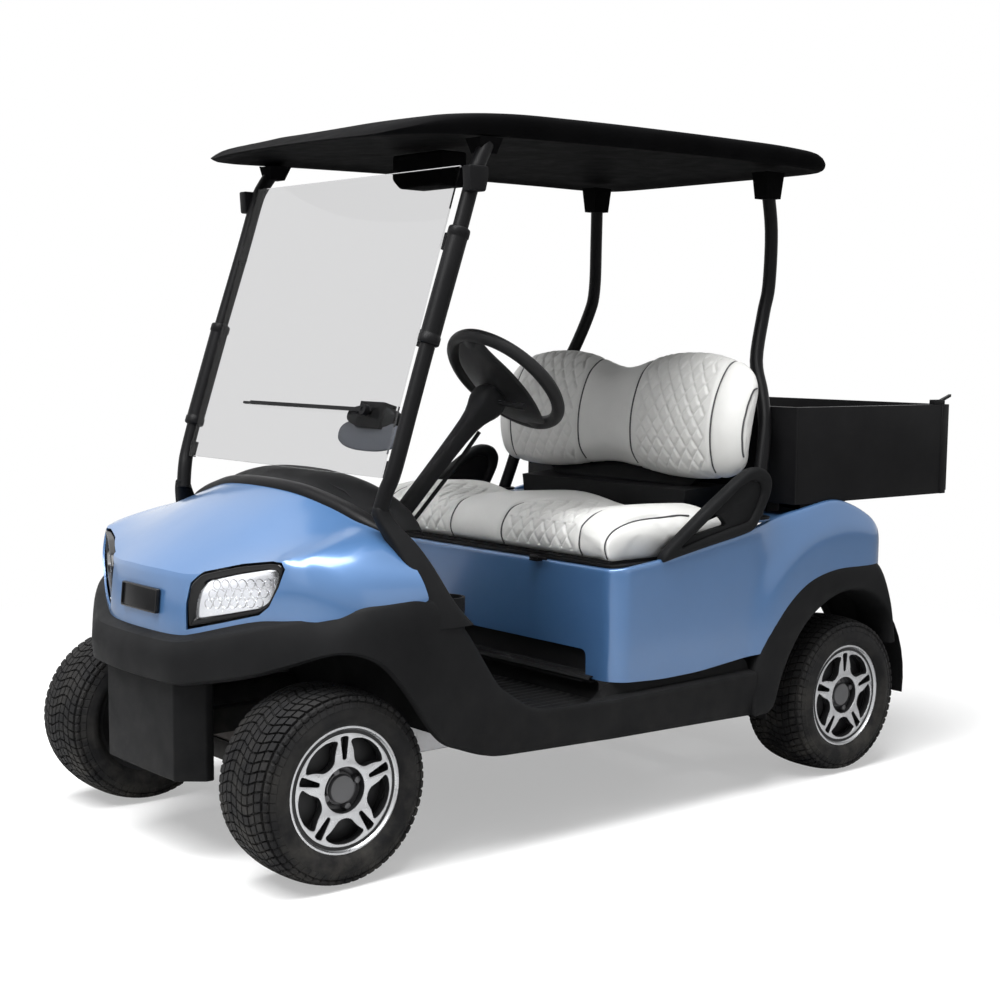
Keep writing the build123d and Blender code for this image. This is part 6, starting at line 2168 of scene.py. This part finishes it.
@dataclass
class FloorMat(Assembly):
    """Ribbed floor, toe board and the riser below the seat."""

    ribs: int = 34
    rib: float = 0.0022
    half_width: float = 0.498

    def build(self, frame: dict) -> None:
        """Build the floor skin over the tray's own outline."""
        side = ((-628, 600), (-640, 598), (-628, 566), (-598, 468), (-570, 380), (-553, 326),
                (-535, 307), (-500, 303.5), (-300, 303.5), (-100, 303.5), (-60, 303.5), (-49, 309),
                (-45, 330), (-45, 352), (-50, 359), (-74, 361), (-77, 366), (-74, 371), (-48, 372),
                (-44, 378), (-44, 440))
        columns = []
        flat = self.half_width - 0.02
        pitch = 2 * flat / self.ribs
        for index in range(self.ribs):
            start = -flat + pitch * index
            columns += [(start + pitch * share, rise) for share, rise in
                        ((0.0, 0.0), (0.18, self.rib), (0.55, self.rib), (0.73, 0.0))]
        columns = [(-self.half_width, 0.0)] + columns + [(flat, 0.0), (self.half_width, 0.0)]
        rows = []
        for index, (y, z) in enumerate(side):
            ribbed = 1.0 if 3 <= index <= 10 else 0.0
            before, after = side[max(index - 1, 0)], side[min(index + 1, len(side) - 1)]
            run = Vector((0, after[0] - before[0], after[1] - before[1])).normalized()
            out = Vector((0, -run.z, run.y))
            rows.append([at(x * 1000, y, z) + out * rise * ribbed for x, rise in columns])
        mat = Bench.lay("floor_mat", rows, facing=at(0, -300, 200))
        Bench.thicken(mat, 0.003)
        Bench.smooth(mat, 30)
        self.palette.dress(mat, Slot.PLASTIC)
        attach(mat, "chassis")


@dataclass
class Piping(Assembly):
    """Dark piping sewn along the seat's seams."""

    radius: float = 0.0026

    def build(self, frame: dict) -> None:
        """Lay a cord along each seam of the finished pads."""
        cushion = bpy.data.objects["seat_cushion_pad"]
        back = bpy.data.objects["backrest_pad"]
        lines = []
        for x in (-0.522, -0.42, -0.11, 0.11, 0.42, 0.522):
            reach = 0.09 if abs(x) < 0.5 else 0.30
            start = at(0, -30, 0).y
            route = [(start - 0.09, z) for z in (0.668, 0.680, 0.695, 0.710, 0.725, 0.740)]
            lines.append(self._track(cushion, x, route, (0, 1, 0)))
            top = [(start - 0.03 + step * reach / 7, 0.9) for step in range(8)]
            lines[-1] += self._track(cushion, x, top, (0, 0, -1))
        piece = self._cords("cushion_piping", lines)
        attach(piece, "seat_lid")
        lines = []
        for x in (-0.506, -0.42, -0.11, 0.11, 0.42, 0.506):
            high = max(v.co.z for v in back.data.vertices if abs(v.co.x - x) < 0.006)
            low = min(v.co.z for v in back.data.vertices if abs(v.co.x - x) < 0.006)
            route = [(at(0, 200, 0).y, low + 0.012 + (high - low - 0.030) * step / 15)
                     for step in range(16)]
            line = self._track(back, x, route, (0, 1, 0))
            over = [(at(0, y, 0).y, 1.4) for y in (498, 508, 518, 528)]
            line += self._track(back, x, over, (0, 0, -1))
            lines.append(line)
        piece = self._cords("backrest_piping", lines)
        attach(piece, "chassis")

    @staticmethod
    def _track(pad: Piece, x: float, route: Outline,
               way: Point) -> list[Vector]:
        """Points where rays from a route meet a pad's face."""
        found = []
        for y, z in route:
            hit, spot, normal, _ = pad.ray_cast(Vector((x, y, z)), Vector(way))
            if hit:
                found.append(spot + normal * 0.0006)
        return found

    def _cords(self, name: str, lines: Sequence[Sequence[Vector]]) -> Piece:
        """Join round cords along several lines into one piece."""
        parts = []
        for line in lines:
            kept = [line[0]]
            for point in line[1:]:
                if (point - kept[-1]).length > 0.006:
                    kept.append(point)
            parts.append(Bench.sweep("cord", smooth_line(kept, 3), self.radius, 8))
        piece = Bench.join(name, parts)
        self.palette.dress(piece, Slot.LEATHER, "dark piping")
        return piece


def main() -> None:
    """Build the cart's dressing and report each piece."""
    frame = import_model()
    palette = Palette()
    palette.dress_frame(frame)
    Studio().build()
    for assembly in (Wheel, Hood, Headlamp, Nose, LowerBody, RearBody, Canopy, Struts, Brow,
                     SteeringWheel, HipRestraints, FloorMat, Fittings, Softened, BenchSeat, Piping):
        assembly(palette).build(frame)
        log.info("%s built", assembly.__name__)


if __name__ == "__main__":
    logging.basicConfig(level=logging.INFO)
    main()
